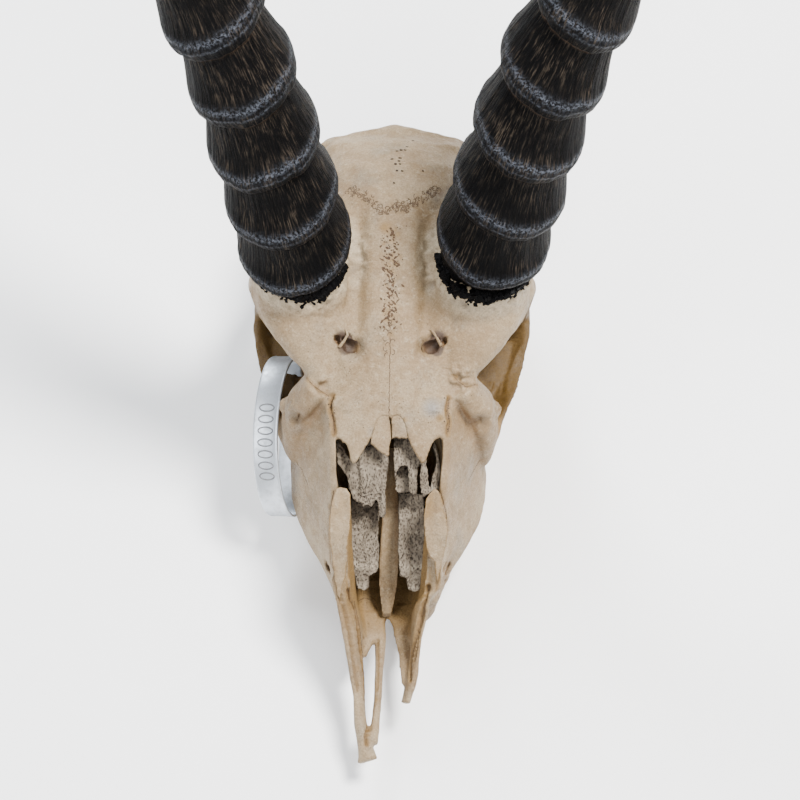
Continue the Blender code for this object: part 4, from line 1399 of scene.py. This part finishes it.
LOWER_SCROLLS = {
    -1: (
        (350, 500), (366, 503), (378, 503), (378, 566), (376, 572), (368.4, 576), (368.4, 587), (364, 590),
        (357.6, 588), (355, 577), (351, 560), (349.4, 535),
    ),
    1: (
        (399, 492), (424, 495), (424.6, 520), (425.6, 545), (427.6, 560), (423.6, 577), (420.6, 578),
        (420, 589),
        (415, 591.4), (408.6, 589.6), (407, 578), (400, 576), (398.4, 545),
    ),
}
FLAPS = {
    -1: (
        (
            (335.7, 438), (340, 443), (345, 449), (348.3, 457), (352, 463), (356, 472),
            (360, 487), (358, 501),
            (353, 499), (350, 488), (346, 477), (343, 470), (338, 463), (336.4, 452),
        ),
        (
            (351, 458), (360, 462), (361, 482), (360, 503), (356, 501), (353, 485), (350.6, 470),
        ),
    ),
    1: (
        (
            (421, 462), (426, 458), (427, 470), (428, 480), (430, 492), (424, 497), (421, 492), (419.5, 480),
        ),
        (
            (434, 440), (437, 446), (439.6, 458), (440.4, 472), (438.6, 488), (435, 493), (430, 490),
            (432, 480),
            (435, 470), (435.6, 458), (433, 448),
        ),
    ),
}


def scroll(side):
    """The broken turbinates and thin shells of one side, as one rough mass."""
    bm = bmesh.new()
    outline, levels, thickness, jitter = SCROLLS[side]
    slab(bm, outline, levels, thickness, jitter)
    slab(bm, LOWER_SCROLLS[side], LOWER_LEVELS, 10.0, 0.4)
    if side > 0:
        slab(bm, HOLLOW_SCROLL, ((430, 70), (495, 64)), 4.0, 0.4)
    for outline in FLAPS[side]:
        slab(bm, outline, FLAP_LEVELS, 1.6, 0.5)
    back = (((9, CHAMBER_BACK + 4, 64), 5.0, 9), ((8.6, -58, 66), 5.2, 9), ((8.4, -66, 62), 5.2, 9))
    limb(bm, back, (1, 0, 0), side, 20)
    return remesh(mesh_object("scroll", bm), 0.36, 2)


def weather_scroll(obj):
    """Dense pits, lengthwise furrows and pale crumbled rims."""
    skin = Skin(obj)
    y = skin.points[:, 1]
    skin.lift += 0.28 * value_noise(skin.points, 2.6, 11) + 0.16 * value_noise(skin.points, 0.9, 12)
    long_grain = value_noise(skin.points * np.array([1.0, 0.16, 0.16]), 1.1, 13)
    skin.lift += 0.28 * long_grain
    skin.masks["chalk"] = np.clip(value_noise(skin.points, 1.4, 14) * 0.8 + 0.4 * long_grain, 0, 1) * 0.6
    rim = np.clip((y + 108) / -4, 0, 1) + bump_window(y, -103.5, 1.6)
    skin.mark("chalk", np.clip(rim, 0, 1) * 0.8)
    visible = [i for i, normal in enumerate(skin.normals) if normal[2] * 0.87 - normal[1] * 0.5 > 0.1]
    dense = value_noise(skin.points, 5.0, 15)
    for _ in range(1500):
        i = dice.choice(visible)
        if dense[i] < dice.uniform(-0.5, 0.9):
            continue
        size = dice.uniform(0.3, 0.52)
        # Each pit is darkened with painted shade.
        skin.spot(skin.points[i], size, size * 1.1, "pit", dice.uniform(0.7, 1.0))
    for _ in range(24):
        i = dice.choice(visible)
        size = dice.uniform(0.6, 1.0)
        # Each larger pit is darkened with painted shade.
        skin.spot(skin.points[i], size, size * 0.9, "pit", 1.0)
    # Painted occlusion shade for the closed-in places.
    skin.hollows(5.0, 5)
    return skin.finish()


# Image x of the middle, image y, half width in pixels and height of the vomer's upper face.
VOMER_LINE = (
    (391.2, 446, 4.5, 63),
    (391.4, 470, 5.5, 59),
    (391.0, 500, 8.0, 53),
    (390.4, 530, 9.6, 46),
    (389.2, 560, 10.0, 38.5),
    (388.2, 585, 9.2, 31),
    (387.4, 602, 7.0, 26),
    (386.6, 614, 4.6, 22.6),
)


def vomer_piece():
    """A smooth trough along the middle of the chamber, which ends in front as a rounded beam."""
    bm = bmesh.new()
    rings = []
    rows = np.linspace(VOMER_LINE[0][1], VOMER_LINE[-1][1], 60)
    table = list(zip(*VOMER_LINE))
    for py in rows:
        px, half, height = (float(np.interp(py, table[1], table[k])) for k in (0, 2, 3))
        left, right = (on_level(px + half * way, py, ((py, height), (py + 1, height))) for way in (-1, 1))
        middle, wide = (left + right) / 2, (right - left).length / 2
        beam = min(1.0, max(0.0, (py - 545) / 45))
        ring = []
        for share, drop in ((-1, 0.7), (-0.93, 0.1), (-0.8, 0.0), (-0.6, 0.25), (-0.3, 0.7), (0, 0.95)):
            level = height - drop * (1 - beam * 1.7) * 1.3
            ring.append(Vector((middle.x + wide * share, middle.y, level)))
        ring += [Vector((2 * middle.x - point.x, point.y, point.z)) for point in reversed(ring[:-1])]
        low = height - 5 if height > 26 else max(19.5, height - 3)
        ring += [Vector((middle.x + wide * share, middle.y, low)) for share in (0.8, -0.8)]
        rings.append(ring)
    loft(bm, rings)
    obj = remesh(mesh_object("vomer", bm), 0.4, 2)
    skin = Skin(obj)
    across = np.abs(skin.points[:, 0] - 0.3)
    skin.masks["orange"] += 0.2
    # Painted shade on the trough, stronger higher up and towards its sides.
    skin.masks["occlusion_shade"] += 0.35 * step_up(skin.points[:, 2], 34, 58) + 0.35 * step_up(across, 1.6, 3.0)
    skin.lift += 0.12 * value_noise(skin.points, 4, 21)
    skin.lift += 0.06 * value_noise(skin.points * np.array([1.0, 0.1, 0.1]), 0.8, 22)
    return skin.finish()


# Teeth.

TEETH = (
    (8.5, 4.2, 1),
    (9.5, 5.2, 1),
    (10.0, 6.0, 1),
    (13.5, 6.8, 2),
    (15.0, 7.2, 2),
    (15.5, 6.8, 2),
)
TOOTH_ROW_FRONT = -86.0


def cheek_teeth(side):
    """Ribbed crowns with sunken crescents in their worn faces, roots deep in the jaw."""
    bm = bmesh.new()
    y = TOOTH_ROW_FRONT
    for length, half_width, lobes in TEETH:
        for lobe in range(lobes):
            centre = y + length * (lobe + 0.5) / lobes
            x = side * (20.5 + 8.0 * min(1, (centre - TOOTH_ROW_FRONT) / 55) ** 0.8)
            half_length = length / lobes * 0.53
            rings = []
            profile = ((1.5, 0.30, 0), (0.9, 0.5, 0), (0.0, 0.62, 1), (0.0, 0.86, 1), (0.5, 0.94, 1))
            profile += ((3, 1.0, 1), (7, 1.0, 1), (11, 0.93, 1), (14.5, 0.9, 1))
            for z, swell, ribbed in profile:
                ring = []
                for k in range(28):
                    turn = 2 * math.pi * k / 28
                    c, s = math.cos(turn), math.sin(turn)
                    across, along = rounded(c, 0.75), rounded(s, 0.75)
                    rib = 1 + ribbed * 0.07 * math.cos(turn * 3) * (1 if c * side > 0 else 0.5)
                    out = x + half_width * swell * across * rib
                    ring.append(Vector((out, centre + half_length * swell * along, z)))
                rings.append(ring)
            loft(bm, rings)
        y += length
    return mesh_object("teeth", bm)


# Horns.


def path_points(side, steps=60):
    """The horn's centre line as a smooth curve through HORN_PATH."""
    knots = [mirrored(point, side) for point in HORN_PATH]
    knots = [knots[0] * 2 - knots[1], *knots, knots[-1] * 2 - knots[-2]]
    points = []
    for a, b, c, d in zip(knots, knots[1:], knots[2:], knots[3:]):
        for k in range(steps):
            t = k / steps
            bend = (2 * a - 5 * b + 4 * c - d) * t**2 + (3 * b - a - 3 * c + d) * t**3
            points.append(0.5 * (2 * b + (c - a) * t + bend))
    points.append(knots[-2])
    return points


# Height of the sheath over its core, by share of the way from one ring to the next.
FRONT_SHAPE = (
    (-0.195, 0.0), (-0.175, 0.1), (-0.15, 0.38), (-0.11, 0.6), (-0.06, 0.76), (0.0, 0.92),
    (0.045, 1.05),
    (0.075, 1.09), (0.10, 1.04), (0.125, 1.02), (0.15, 1.08), (0.18, 1.03), (0.215, 0.86), (0.26, 0.62),
    (0.31, 0.44), (0.38, 0.3), (0.47, 0.18), (0.58, 0.08), (0.70, 0.02), (0.805, 0.0),
)
SIDE_SHAPE = (
    (-0.19, 0.0), (-0.17, 0.1), (-0.14, 0.4), (-0.10, 0.72), (-0.05, 0.92), (0.02, 1.0), (0.10, 0.98),
    (0.18, 0.9), (0.28, 0.76), (0.4, 0.58), (0.52, 0.4), (0.64, 0.24), (0.74, 0.1), (0.81, 0.0),
)
HORN_AROUND = 190
HORN_STEP = 0.8
FIBRE_STRETCH = 0.09  # fibres are drawn out along the horn by the inverse of this


def horn_frame(side):
    """Stations along one horn: distance from the base, place, and the three directions there."""
    points = path_points(side)
    travelled = np.concatenate([[0], np.cumsum([(b - a).length for a, b in zip(points, points[1:])])])
    length = travelled[-1]
    spine = np.array([tuple(p) for p in points])
    tip = length - np.array([2.2, 1.4, 0.7, 0.3])
    stations = np.concatenate([np.arange(0, length - 2.5, HORN_STEP), tip])
    middle = np.stack([np.interp(stations, travelled, spine[:, i]) for i in range(3)], axis=1)
    ahead = np.gradient(middle, axis=0)
    ahead /= np.linalg.norm(ahead, axis=1)[:, None]
    front = np.array([0.0, -1.0, 0.0]) - ahead * (ahead @ np.array([0.0, -1.0, 0.0]))[:, None]
    front /= np.linalg.norm(front, axis=1)[:, None]
    return length, stations, middle, ahead, front, np.cross(ahead, front)


def horn_rings(side, seed, stations, core, turn, wave):
    """The last crest's place, how far the rings stand out, a painted highlight along their crests and marks
    for their rims.
    """
    crests, at = [], RING_FIRST[side]
    for pitch in RING_PITCHES:
        crests.append((at, pitch))
        at += pitch
    sideways = np.abs(np.sin(turn)) ** 1.5
    front_share = 0.25 + 0.75 * (0.5 + 0.5 * np.cos(turn)) ** 1.5
    ring_lift = np.zeros((len(stations), HORN_AROUND))
    crest_highlight = np.zeros_like(ring_lift)
    rim_mark = np.zeros_like(ring_lift)
    for i, (crest, pitch) in enumerate(crests):
        height = RING_HEIGHT * (1 - (i / len(crests)) ** 2) * np.interp(crest, stations, core) / HORN_RADIUS
        strong = 1.0 + 0.07 * value_noise(wave, 1.6, seed + i)
        stray = 0.035 * value_noise(wave, 1.3, seed + 40 + i) + 0.016 * value_noise(wave, 0.5, seed + 70 + i)
        u = (stations[:, None] - crest) / pitch + stray[None, :]
        lift = np.zeros_like(u)
        for table, share_of in ((FRONT_SHAPE, 1 - sideways), (SIDE_SHAPE, sideways)):
            lift += np.interp(u, *zip(*table), left=0, right=0) * share_of[None, :]
        ring_lift += height * lift * strong[None, :]
        fade = min(1.0, 1.2 * height / RING_HEIGHT)
        # Painted highlight bands along each crest, stronger towards the front.
        for strength, at_share, spread in ((0.7, 0.03, 0.022), (1.0, 0.15, 0.045)):
            crest_glint = fade * front_share[None, :] * strength * bump_window(u, at_share, spread)
            crest_highlight = np.maximum(crest_highlight, crest_glint)
        rim_mark = np.maximum(rim_mark, (0.3 + 0.6 * fade) * bump_window(u, -0.175, 0.02))
    return crests[-1][0], ring_lift, crest_highlight, rim_mark


def horn_mesh(side, seed):
    """One ringed sheath, with a frayed hem round its base and a smooth tip."""
    length, stations, middle, ahead, front, across = horn_frame(side)
    share = stations / length
    core = HORN_RADIUS * (1 - share**1.6) + HORN_TIP_RADIUS * share
    tail = np.clip((length - stations) / 3.0, 0.08, 1) ** 0.5
    core = core * tail
    turn = 2 * np.pi * np.arange(HORN_AROUND) / HORN_AROUND
    wave = np.stack([np.cos(turn) * 3, np.sin(turn) * 3, turn * 0], axis=1)
    last_crest, ring_lift, crest_highlight, rim_mark = horn_rings(side, seed, stations, core, turn, wave)
    fibres = np.zeros_like(ring_lift)
    for row, s in enumerate(stations):
        girth = core[row]
        height = np.full_like(turn, s * FIBRE_STRETCH)
        spots = np.stack([np.cos(turn) * girth, np.sin(turn) * girth, height], axis=1)
        fibres[row] = 0.20 * value_noise(spots, 1.1, seed + 5) + 0.16 * value_noise(spots, 3.5, seed + 6)
    fading = np.clip(core / 12, 0.15, 1)[:, None]
    radius = core[:, None] + ring_lift + fibres * fading
    root = np.exp(-stations / 3.0)[:, None]
    frayed = value_noise(wave, 0.28, seed + 90) + 0.7 * value_noise(wave, 0.11, seed + 91)
    radius += root * (0.5 + 0.35 * frayed[None, :])
    tilt = step_up(stations, 0, 9) * (1 - step_up(stations, last_crest, length))
    slide = -RING_TILT * tilt[:, None] * np.cos(turn)[None, :] * radius / HORN_RADIUS
    out = front[:, None, :] * np.cos(turn)[None, :, None]
    out = out + across[:, None, :] * np.sin(turn)[None, :, None]
    body = middle[:, None, :] + out * radius[:, :, None] + ahead[:, None, :] * slide[:, :, None]
    up = np.array(base_normal(side))
    flatness = 1 - step_up(stations, 0, 6)
    rise = (body - middle[:, None, :]) @ up
    body -= (rise * flatness[:, None])[:, :, None] * up
    hem = 2.2 * frayed + 0.3
    body += (np.exp(-stations / 2.2)[:, None] * hem[None, :].clip(-2.5, 2.5))[:, :, None] * up
    verts = body.reshape(-1, 3)
    rows, around = len(stations), HORN_AROUND
    index = np.arange(rows * around).reshape(rows, around)
    nxt = np.roll(index, -1, axis=1)
    quads = np.stack([index[:-1], nxt[:-1], nxt[1:], index[1:]], axis=2).reshape(-1, 4)
    faces = [tuple(q) for q in quads.tolist()]
    faces.append(tuple(reversed(index[0].tolist())))
    faces.append(tuple(index[-1].tolist()))
    mesh = bpy.data.meshes.new("horn")
    mesh.from_pydata(verts.tolist(), [], faces)
    # Painted shadow line along the sheath's base, where it meets the bone.
    base_shadow = np.exp(-stations / 2.2)[:, None] * np.ones_like(ring_lift)
    store_channels(mesh, "marks", (rim_mark, base_shadow, crest_highlight))
    grain = np.zeros((rows, around, 3), dtype=np.float32)
    grain[:, :, 0] = np.cos(turn)[None, :] * core[:, None] * MM
    grain[:, :, 1] = np.sin(turn)[None, :] * core[:, None] * MM
    grain[:, :, 2] = stations[:, None] * MM * FIBRE_STRETCH
    layer = mesh.attributes.new("grain", "FLOAT_VECTOR", "POINT")
    layer.data.foreach_set("vector", grain.ravel())
    made = bpy.data.objects.new("horn", mesh)
    bpy.context.scene.collection.objects.link(made)
    check = bmesh.new()
    check.from_mesh(mesh)
    if check.calc_volume(signed=True) < 0:
        mesh.flip_normals()
    check.free()
    return made


# The tag band.

TAG_CENTRE = Vector((-43.6, -42, 41))
TAG_HALF_LENGTH = 33.0
TAG_FRONT_DEPTH = 18.0
TAG_BACK_DEPTH = 6.0
TAG_TILT = 24.0
TAG_WIDTH = 11.5
TAG_THICKNESS = 0.9
TAG_STEPS = 160
TAG_SLOPE = math.radians(30)
ZERO_COUNT = 7
ZERO_HALF_WIDTH = 1.5
ZERO_HALF_HEIGHT = 3.3


def tag_frame():
    """Directions along the strap's loop, through its depth and across its width."""
    along = Vector((0, math.cos(TAG_SLOPE), math.sin(TAG_SLOPE)))
    outward = Vector((0, -math.sin(TAG_SLOPE), math.cos(TAG_SLOPE)))
    tilt = math.radians(TAG_TILT)
    depth = outward * math.cos(tilt) - Vector((1, 0, 0)) * math.sin(tilt)
    return along, depth, along.cross(depth).normalized()


def tag_point(turn):
    """A point of the strap's middle line and the way its outer face looks."""
    along, depth, _ = tag_frame()
    c, s = math.cos(turn), math.sin(turn)
    reach = TAG_FRONT_DEPTH if s > 0 else TAG_BACK_DEPTH
    centre = TAG_CENTRE + along * TAG_HALF_LENGTH * c + depth * reach * s
    out = (along * reach * c + depth * TAG_HALF_LENGTH * s).normalized()
    return centre, out


def tag_strap():
    """A closed strap with rounded edges and a raised lip along both of them."""
    width = tag_frame()[2]
    section = (
        (-1, -0.86), (-1, 0.86), (-0.7, 0.97), (0, 1.0), (0.7, 0.97), (1, 0.9), (1, 0.8), (0.82, 0.76),
        (0.82, 0.0), (0.82, -0.76), (1, -0.8), (1, -0.9), (0.7, -0.97), (0, -1.0), (-0.7, -0.97),
    )
    rings = []
    for k in range(TAG_STEPS):
        centre, out = tag_point(2 * math.pi * k / TAG_STEPS)
        thick, wide = out * TAG_THICKNESS / 2, width * TAG_WIDTH / 2
        rings.append([centre + thick * through + wide * over for through, over in section])
    bm = bmesh.new()
    loft(bm, rings, endless=True)
    return mesh_object("strap", bm)


def tag_marks():
    """A row of plain zeros on the strap, in place of its markings."""
    width = tag_frame()[2]
    bm = bmesh.new()
    for k in range(ZERO_COUNT):
        start = math.radians(69 + k * 8.4)
        centre, out = tag_point(start)
        ahead = (tag_point(start + 0.01)[0] - centre).normalized()
        line = oval(centre, ahead * ZERO_HALF_WIDTH, width * ZERO_HALF_HEIGHT, 28)
        outward = oval(Vector((0, 0, 0)), ahead / ZERO_HALF_WIDTH, width / ZERO_HALF_HEIGHT, 28)
        rings = []
        for spot, way in zip(line, outward):
            spot = spot + out * (TAG_THICKNESS * 0.45)
            rings.append(oval(spot, way.normalized() * 0.3, out * 0.09, 4))
        loft(bm, rings, endless=True)
    return mesh_object("zeros", bm)


BRIDGE_PATHS = (
    ((346, 329.5), (347.5, 335), (344, 341), (339, 347.5)),
    ((431, 329), (434.5, 334), (437.5, 339), (441.5, 346)),
)


def bridges(skin):
    """The small bars of bone over the two pits above the eyes."""
    bm = bmesh.new()
    for path in BRIDGE_PATHS:
        spots = []
        for a, b in zip(path, path[1:]):
            spots += [(a[0] + (b[0] - a[0]) * k / 4, a[1] + (b[1] - a[1]) * k / 4) for k in range(4)]
        spots.append(path[-1])
        ends = [skin.seen(*path[0])[0], skin.seen(*path[-1])[0]]
        rings = []
        for k, (x, y) in enumerate(spots):
            share = k / (len(spots) - 1)
            base = ends[0].lerp(ends[1], share)
            spot = at_height(x, y, base.z + 0.5 * math.sin(share * math.pi))
            size = 0.5 + 0.5 * abs(share - 0.5)
            ahead = (ends[1] - ends[0]).normalized()
            side = ahead.cross(Vector((0, 0, 1))).normalized()
            over = side.cross(ahead)
            rings.append(oval(spot, side * size, over * size, 8))
        loft(bm, rings)
    return mesh_object("bridges", bm)


# Height of the premaxilla's outer face by image row, and its two rounded tongues.
TONGUE_LEVELS = ((486, 75), (500, 73), (520, 68.5), (559, 58.5), (601, 45), (640, 34))
TONGUES = {
    -1: (
        (335.6, 489), (340, 486.4), (346.4, 488), (349.6, 493), (351, 508), (350.6, 520), (349, 534),
        (347, 546),
        (347.4, 560), (346.4, 574), (343, 586), (340.6, 600), (337, 596), (334.6, 580), (332, 560),
        (329.6, 540),
        (329.4, 520), (331.4, 502),
    ),
    1: (
        (434, 488), (438.6, 491), (443, 503), (446, 516), (447.6, 530), (446.6, 545), (443, 560),
        (439.6, 572),
        (438, 584), (435.6, 575), (434.6, 562), (429.6, 556), (426.6, 548), (424.6, 534), (423.4, 516),
        (425.6, 499),
    ),
}


def tongue(side):
    """The flat upper end of one premaxilla, with a worn skin."""
    bm = bmesh.new()
    slab(bm, TONGUES[side], TONGUE_LEVELS, 1.5, 0.35)
    made = remesh(mesh_object("tongue", bm), 0.4, 3)
    face = Skin(made)
    face.lift += 0.22 * value_noise(face.points, 4.0, 51) + 0.1 * value_noise(face.points, 1.4, 52)
    drawn = value_noise(face.points * np.array([1.0, 0.14, 0.14]), 1.6, 54)
    face.lift += 0.3 * drawn
    rim = step_up(np.abs(face.normals[:, 0]) + np.abs(face.normals[:, 1]) * 0.4, 0.45, 0.85)
    face.masks["orange"] += 0.14 * np.clip(value_noise(face.points, 5.0, 53), 0, 1) + 0.55 * rim
    face.masks["orange"] += 0.25 * np.clip(-drawn, 0, 1)
    return face.finish()


HEMS = {
    -1: ((252, 270), (262, 286), (281, 297), (300, 303), (318, 302), (330, 293), (340, 281), (346, 266)),
    1: (
        (437, 258), (441, 272), (447, 285), (456, 296), (470, 302), (488, 303), (505, 299), (520, 290),
        (530, 276),
    ),
}


def horn_chips(surface, side):
    """Torn flakes of horn that cling to the bone under the sheath."""
    path = path_between(HEMS[side], 1.1, 0.0)
    bm = bmesh.new()
    for i, (x, y) in enumerate(path):
        middle = math.sin(math.pi * i / (len(path) - 1))
        for _ in range(6):
            reach = 12.0 + 2.2 * math.sin(i * 0.31 + side) + 1.6 * math.sin(i * 0.83)
            lower = 14.2 - reach - 12.5 * dice.random() ** 0.8 * middle**0.4
            if lower > -2.5 and dice.random() < 0.62:
                continue
            point, normal = surface.seen(x + dice.uniform(-1, 1), y + lower)
            if point is None:
                continue
            size = dice.uniform(0.8, 1.7) * (0.8 if lower > -3 else 1.3)
            turn = normal.to_track_quat("Z", "Y").to_matrix().to_4x4()
            turn = turn @ Matrix.Rotation(dice.uniform(0, 3.1), 4, "Z")
            shape = Matrix.Translation(point) @ turn
            shape = shape @ Matrix.Diagonal((size, size * dice.uniform(0.4, 0.9), size * 0.32, 1))
            made = bmesh.ops.create_icosphere(bm, subdivisions=1, radius=1, matrix=shape)
            for corner in made["verts"]:
                stray = Vector([dice.uniform(-1, 1) for _ in range(3)])
                corner.co += stray * size * 0.26
    return mesh_object("chips", bm)


# Building.

bone = bone_material("weathered bone")
plain_bone = bone_material("bone fragments", marked=False)
dark_bone = plain_material("suture pits", (0.03, 0.015, 0.006), (0.07, 0.036, 0.015), 0.85, 900)
# Painted shade for the inside of the pinholes.
hole_shade = plain_material("open holes", (0.012, 0.007, 0.004), (0.03, 0.016, 0.008), 0.9, 900)
suture_brown = plain_material("suture brown", (0.042, 0.024, 0.011), (0.10, 0.062, 0.032), 0.85, 600)
porous = porous_material("porous bone")
keratin = horn_material("horn keratin")
metal = metal_material("scuffed aluminium")
engraved = plain_material("engraved grey", (0.09, 0.093, 0.10), (0.16, 0.165, 0.17), 0.55, 700)
enamel = plain_material("tooth enamel", (0.44, 0.36, 0.23), (0.24, 0.16, 0.08), 0.35, 260)

skull = bone_skin()
skin = Skin(skull)
relief(skin)
sutures(skin)
# Painted occlusion shade for the closed-in places.
skin.hollows(11.0, 6)
surface = Surface(skin.finish())
fine, loops, bars, pinholes = surface_lines(surface)
bridge = bridges(surface)
chips = {side: horn_chips(surface, side) for side, _ in SIDES}
bone_nodes = ("cranium", "maxilla_right", "maxilla_left", "zygomatic_right", "zygomatic_left")
dress(skull, "skull_bone", bone, "bone", *bone_nodes, "premaxilla_right", "premaxilla_left")
dress(fine, "suture_lines", dark_bone, "bone")
dress(loops, "coronal_suture", suture_brown, "bone")
dress(bars, "frontal_suture_pits", dark_bone, "bone")
dress(pinholes, "pinholes", hole_shade, "bone", smooth=False)
dress(bridge, "supraorbital_bridges", plain_bone, "bone")
for outline, word in zip(NASAL_OUTLINES, ("right", "left")):
    remnant = remesh(plate(outline, 0.7, 1.5), 0.4, 1)
    dress(remnant, f"nasal_remnant_{word}", plain_bone, "bone")
for side, word in SIDES:
    dress(weather_scroll(scroll(side)), f"turbinates_{word}", porous, "nasal_bone", f"turbinate_{word}")
    dress(cheek_teeth(side), f"cheek_teeth_{word}", enamel, "bone")
    dress(horn_mesh(side, 3 + side), f"ringed_horn_{word}", keratin, "keratin", f"horn_{word}")
    dress(chips[side], f"horn_chips_{word}", keratin, "keratin", smooth=False)
    dress(tongue(side), f"premaxilla_tongue_{word}", bone, "bone")
dress(vomer_piece(), "vomer_trough", bone, "nasal_bone", "vomer")
dress(tag_strap(), "tag_strap", metal, "tag_metal", "tag_band")
dress(tag_marks(), "tag_zeros", engraved, "tag_metal")

# The studio.


LIGHT_AIM = Vector((0, -0.03, 0.08))
# Name, place in metres, width, power in watts and colour of each light.
LIGHTS = (
    ("key", (0.5, 0.1, 1.3), 0.42, 60, (1.0, 0.985, 0.96)),
    ("fill", (-0.9, -0.6, 1.0), 1.0, 17, (0.95, 0.975, 1.0)),
    ("front", (0.1, -1.3, 0.6), 0.9, 8, (1.0, 1.0, 1.0)),
    ("back", (-0.5, 1.0, 1.1), 0.5, 26, (0.9, 0.95, 1.0)),
)
SENSOR_WIDTH = 36


def area_light(name, spot, size, power, colour):
    light = bpy.data.lights.new(name, "AREA")
    light.shape = "DISK"
    light.size = size
    light.energy = power
    light.color = colour
    made = bpy.data.objects.new(name, light)
    made.location = spot
    made.rotation_euler = (LIGHT_AIM - Vector(spot)).to_track_quat("-Z", "Y").to_euler()
    bpy.context.scene.collection.objects.link(made)


def floor_plane():
    bm = bmesh.new()
    bmesh.ops.create_grid(bm, x_segments=2, y_segments=2, size=3)
    made = mesh_object("floor", bm)
    finish, tree, shader = nodes_of("pale floor")
    grain = noise_node(tree, object_space(tree), 60, 2, 0.5)
    shade = blend_colour(tree, grain, (0.93, 0.93, 0.935), (0.95, 0.95, 0.955))
    tree.links.new(shade, shader.inputs["Base Color"])
    shader.inputs["Roughness"].default_value = 0.9
    made.data.materials.append(finish)


floor_plane()
for light in LIGHTS:
    area_light(*light)
world = bpy.data.worlds.new("studio")
world.use_nodes = True
world.node_tree.nodes["Background"].inputs["Color"].default_value = (0.97, 0.985, 1.0, 1)
world.node_tree.nodes["Background"].inputs["Strength"].default_value = 0.48
bpy.context.scene.world = world

lens = bpy.data.cameras.new("photo camera")
lens.sensor_width = SENSOR_WIDTH
lens.lens = SENSOR_WIDTH * FOCAL_PIXELS / IMAGE
viewer = bpy.data.objects.new("photo camera", lens)
in_metres = CAMERA.copy()
in_metres.translation = (CAMERA.to_translation() - HOME) * MM
viewer.matrix_world = in_metres
bpy.context.scene.collection.objects.link(viewer)
bpy.context.scene.camera = viewer
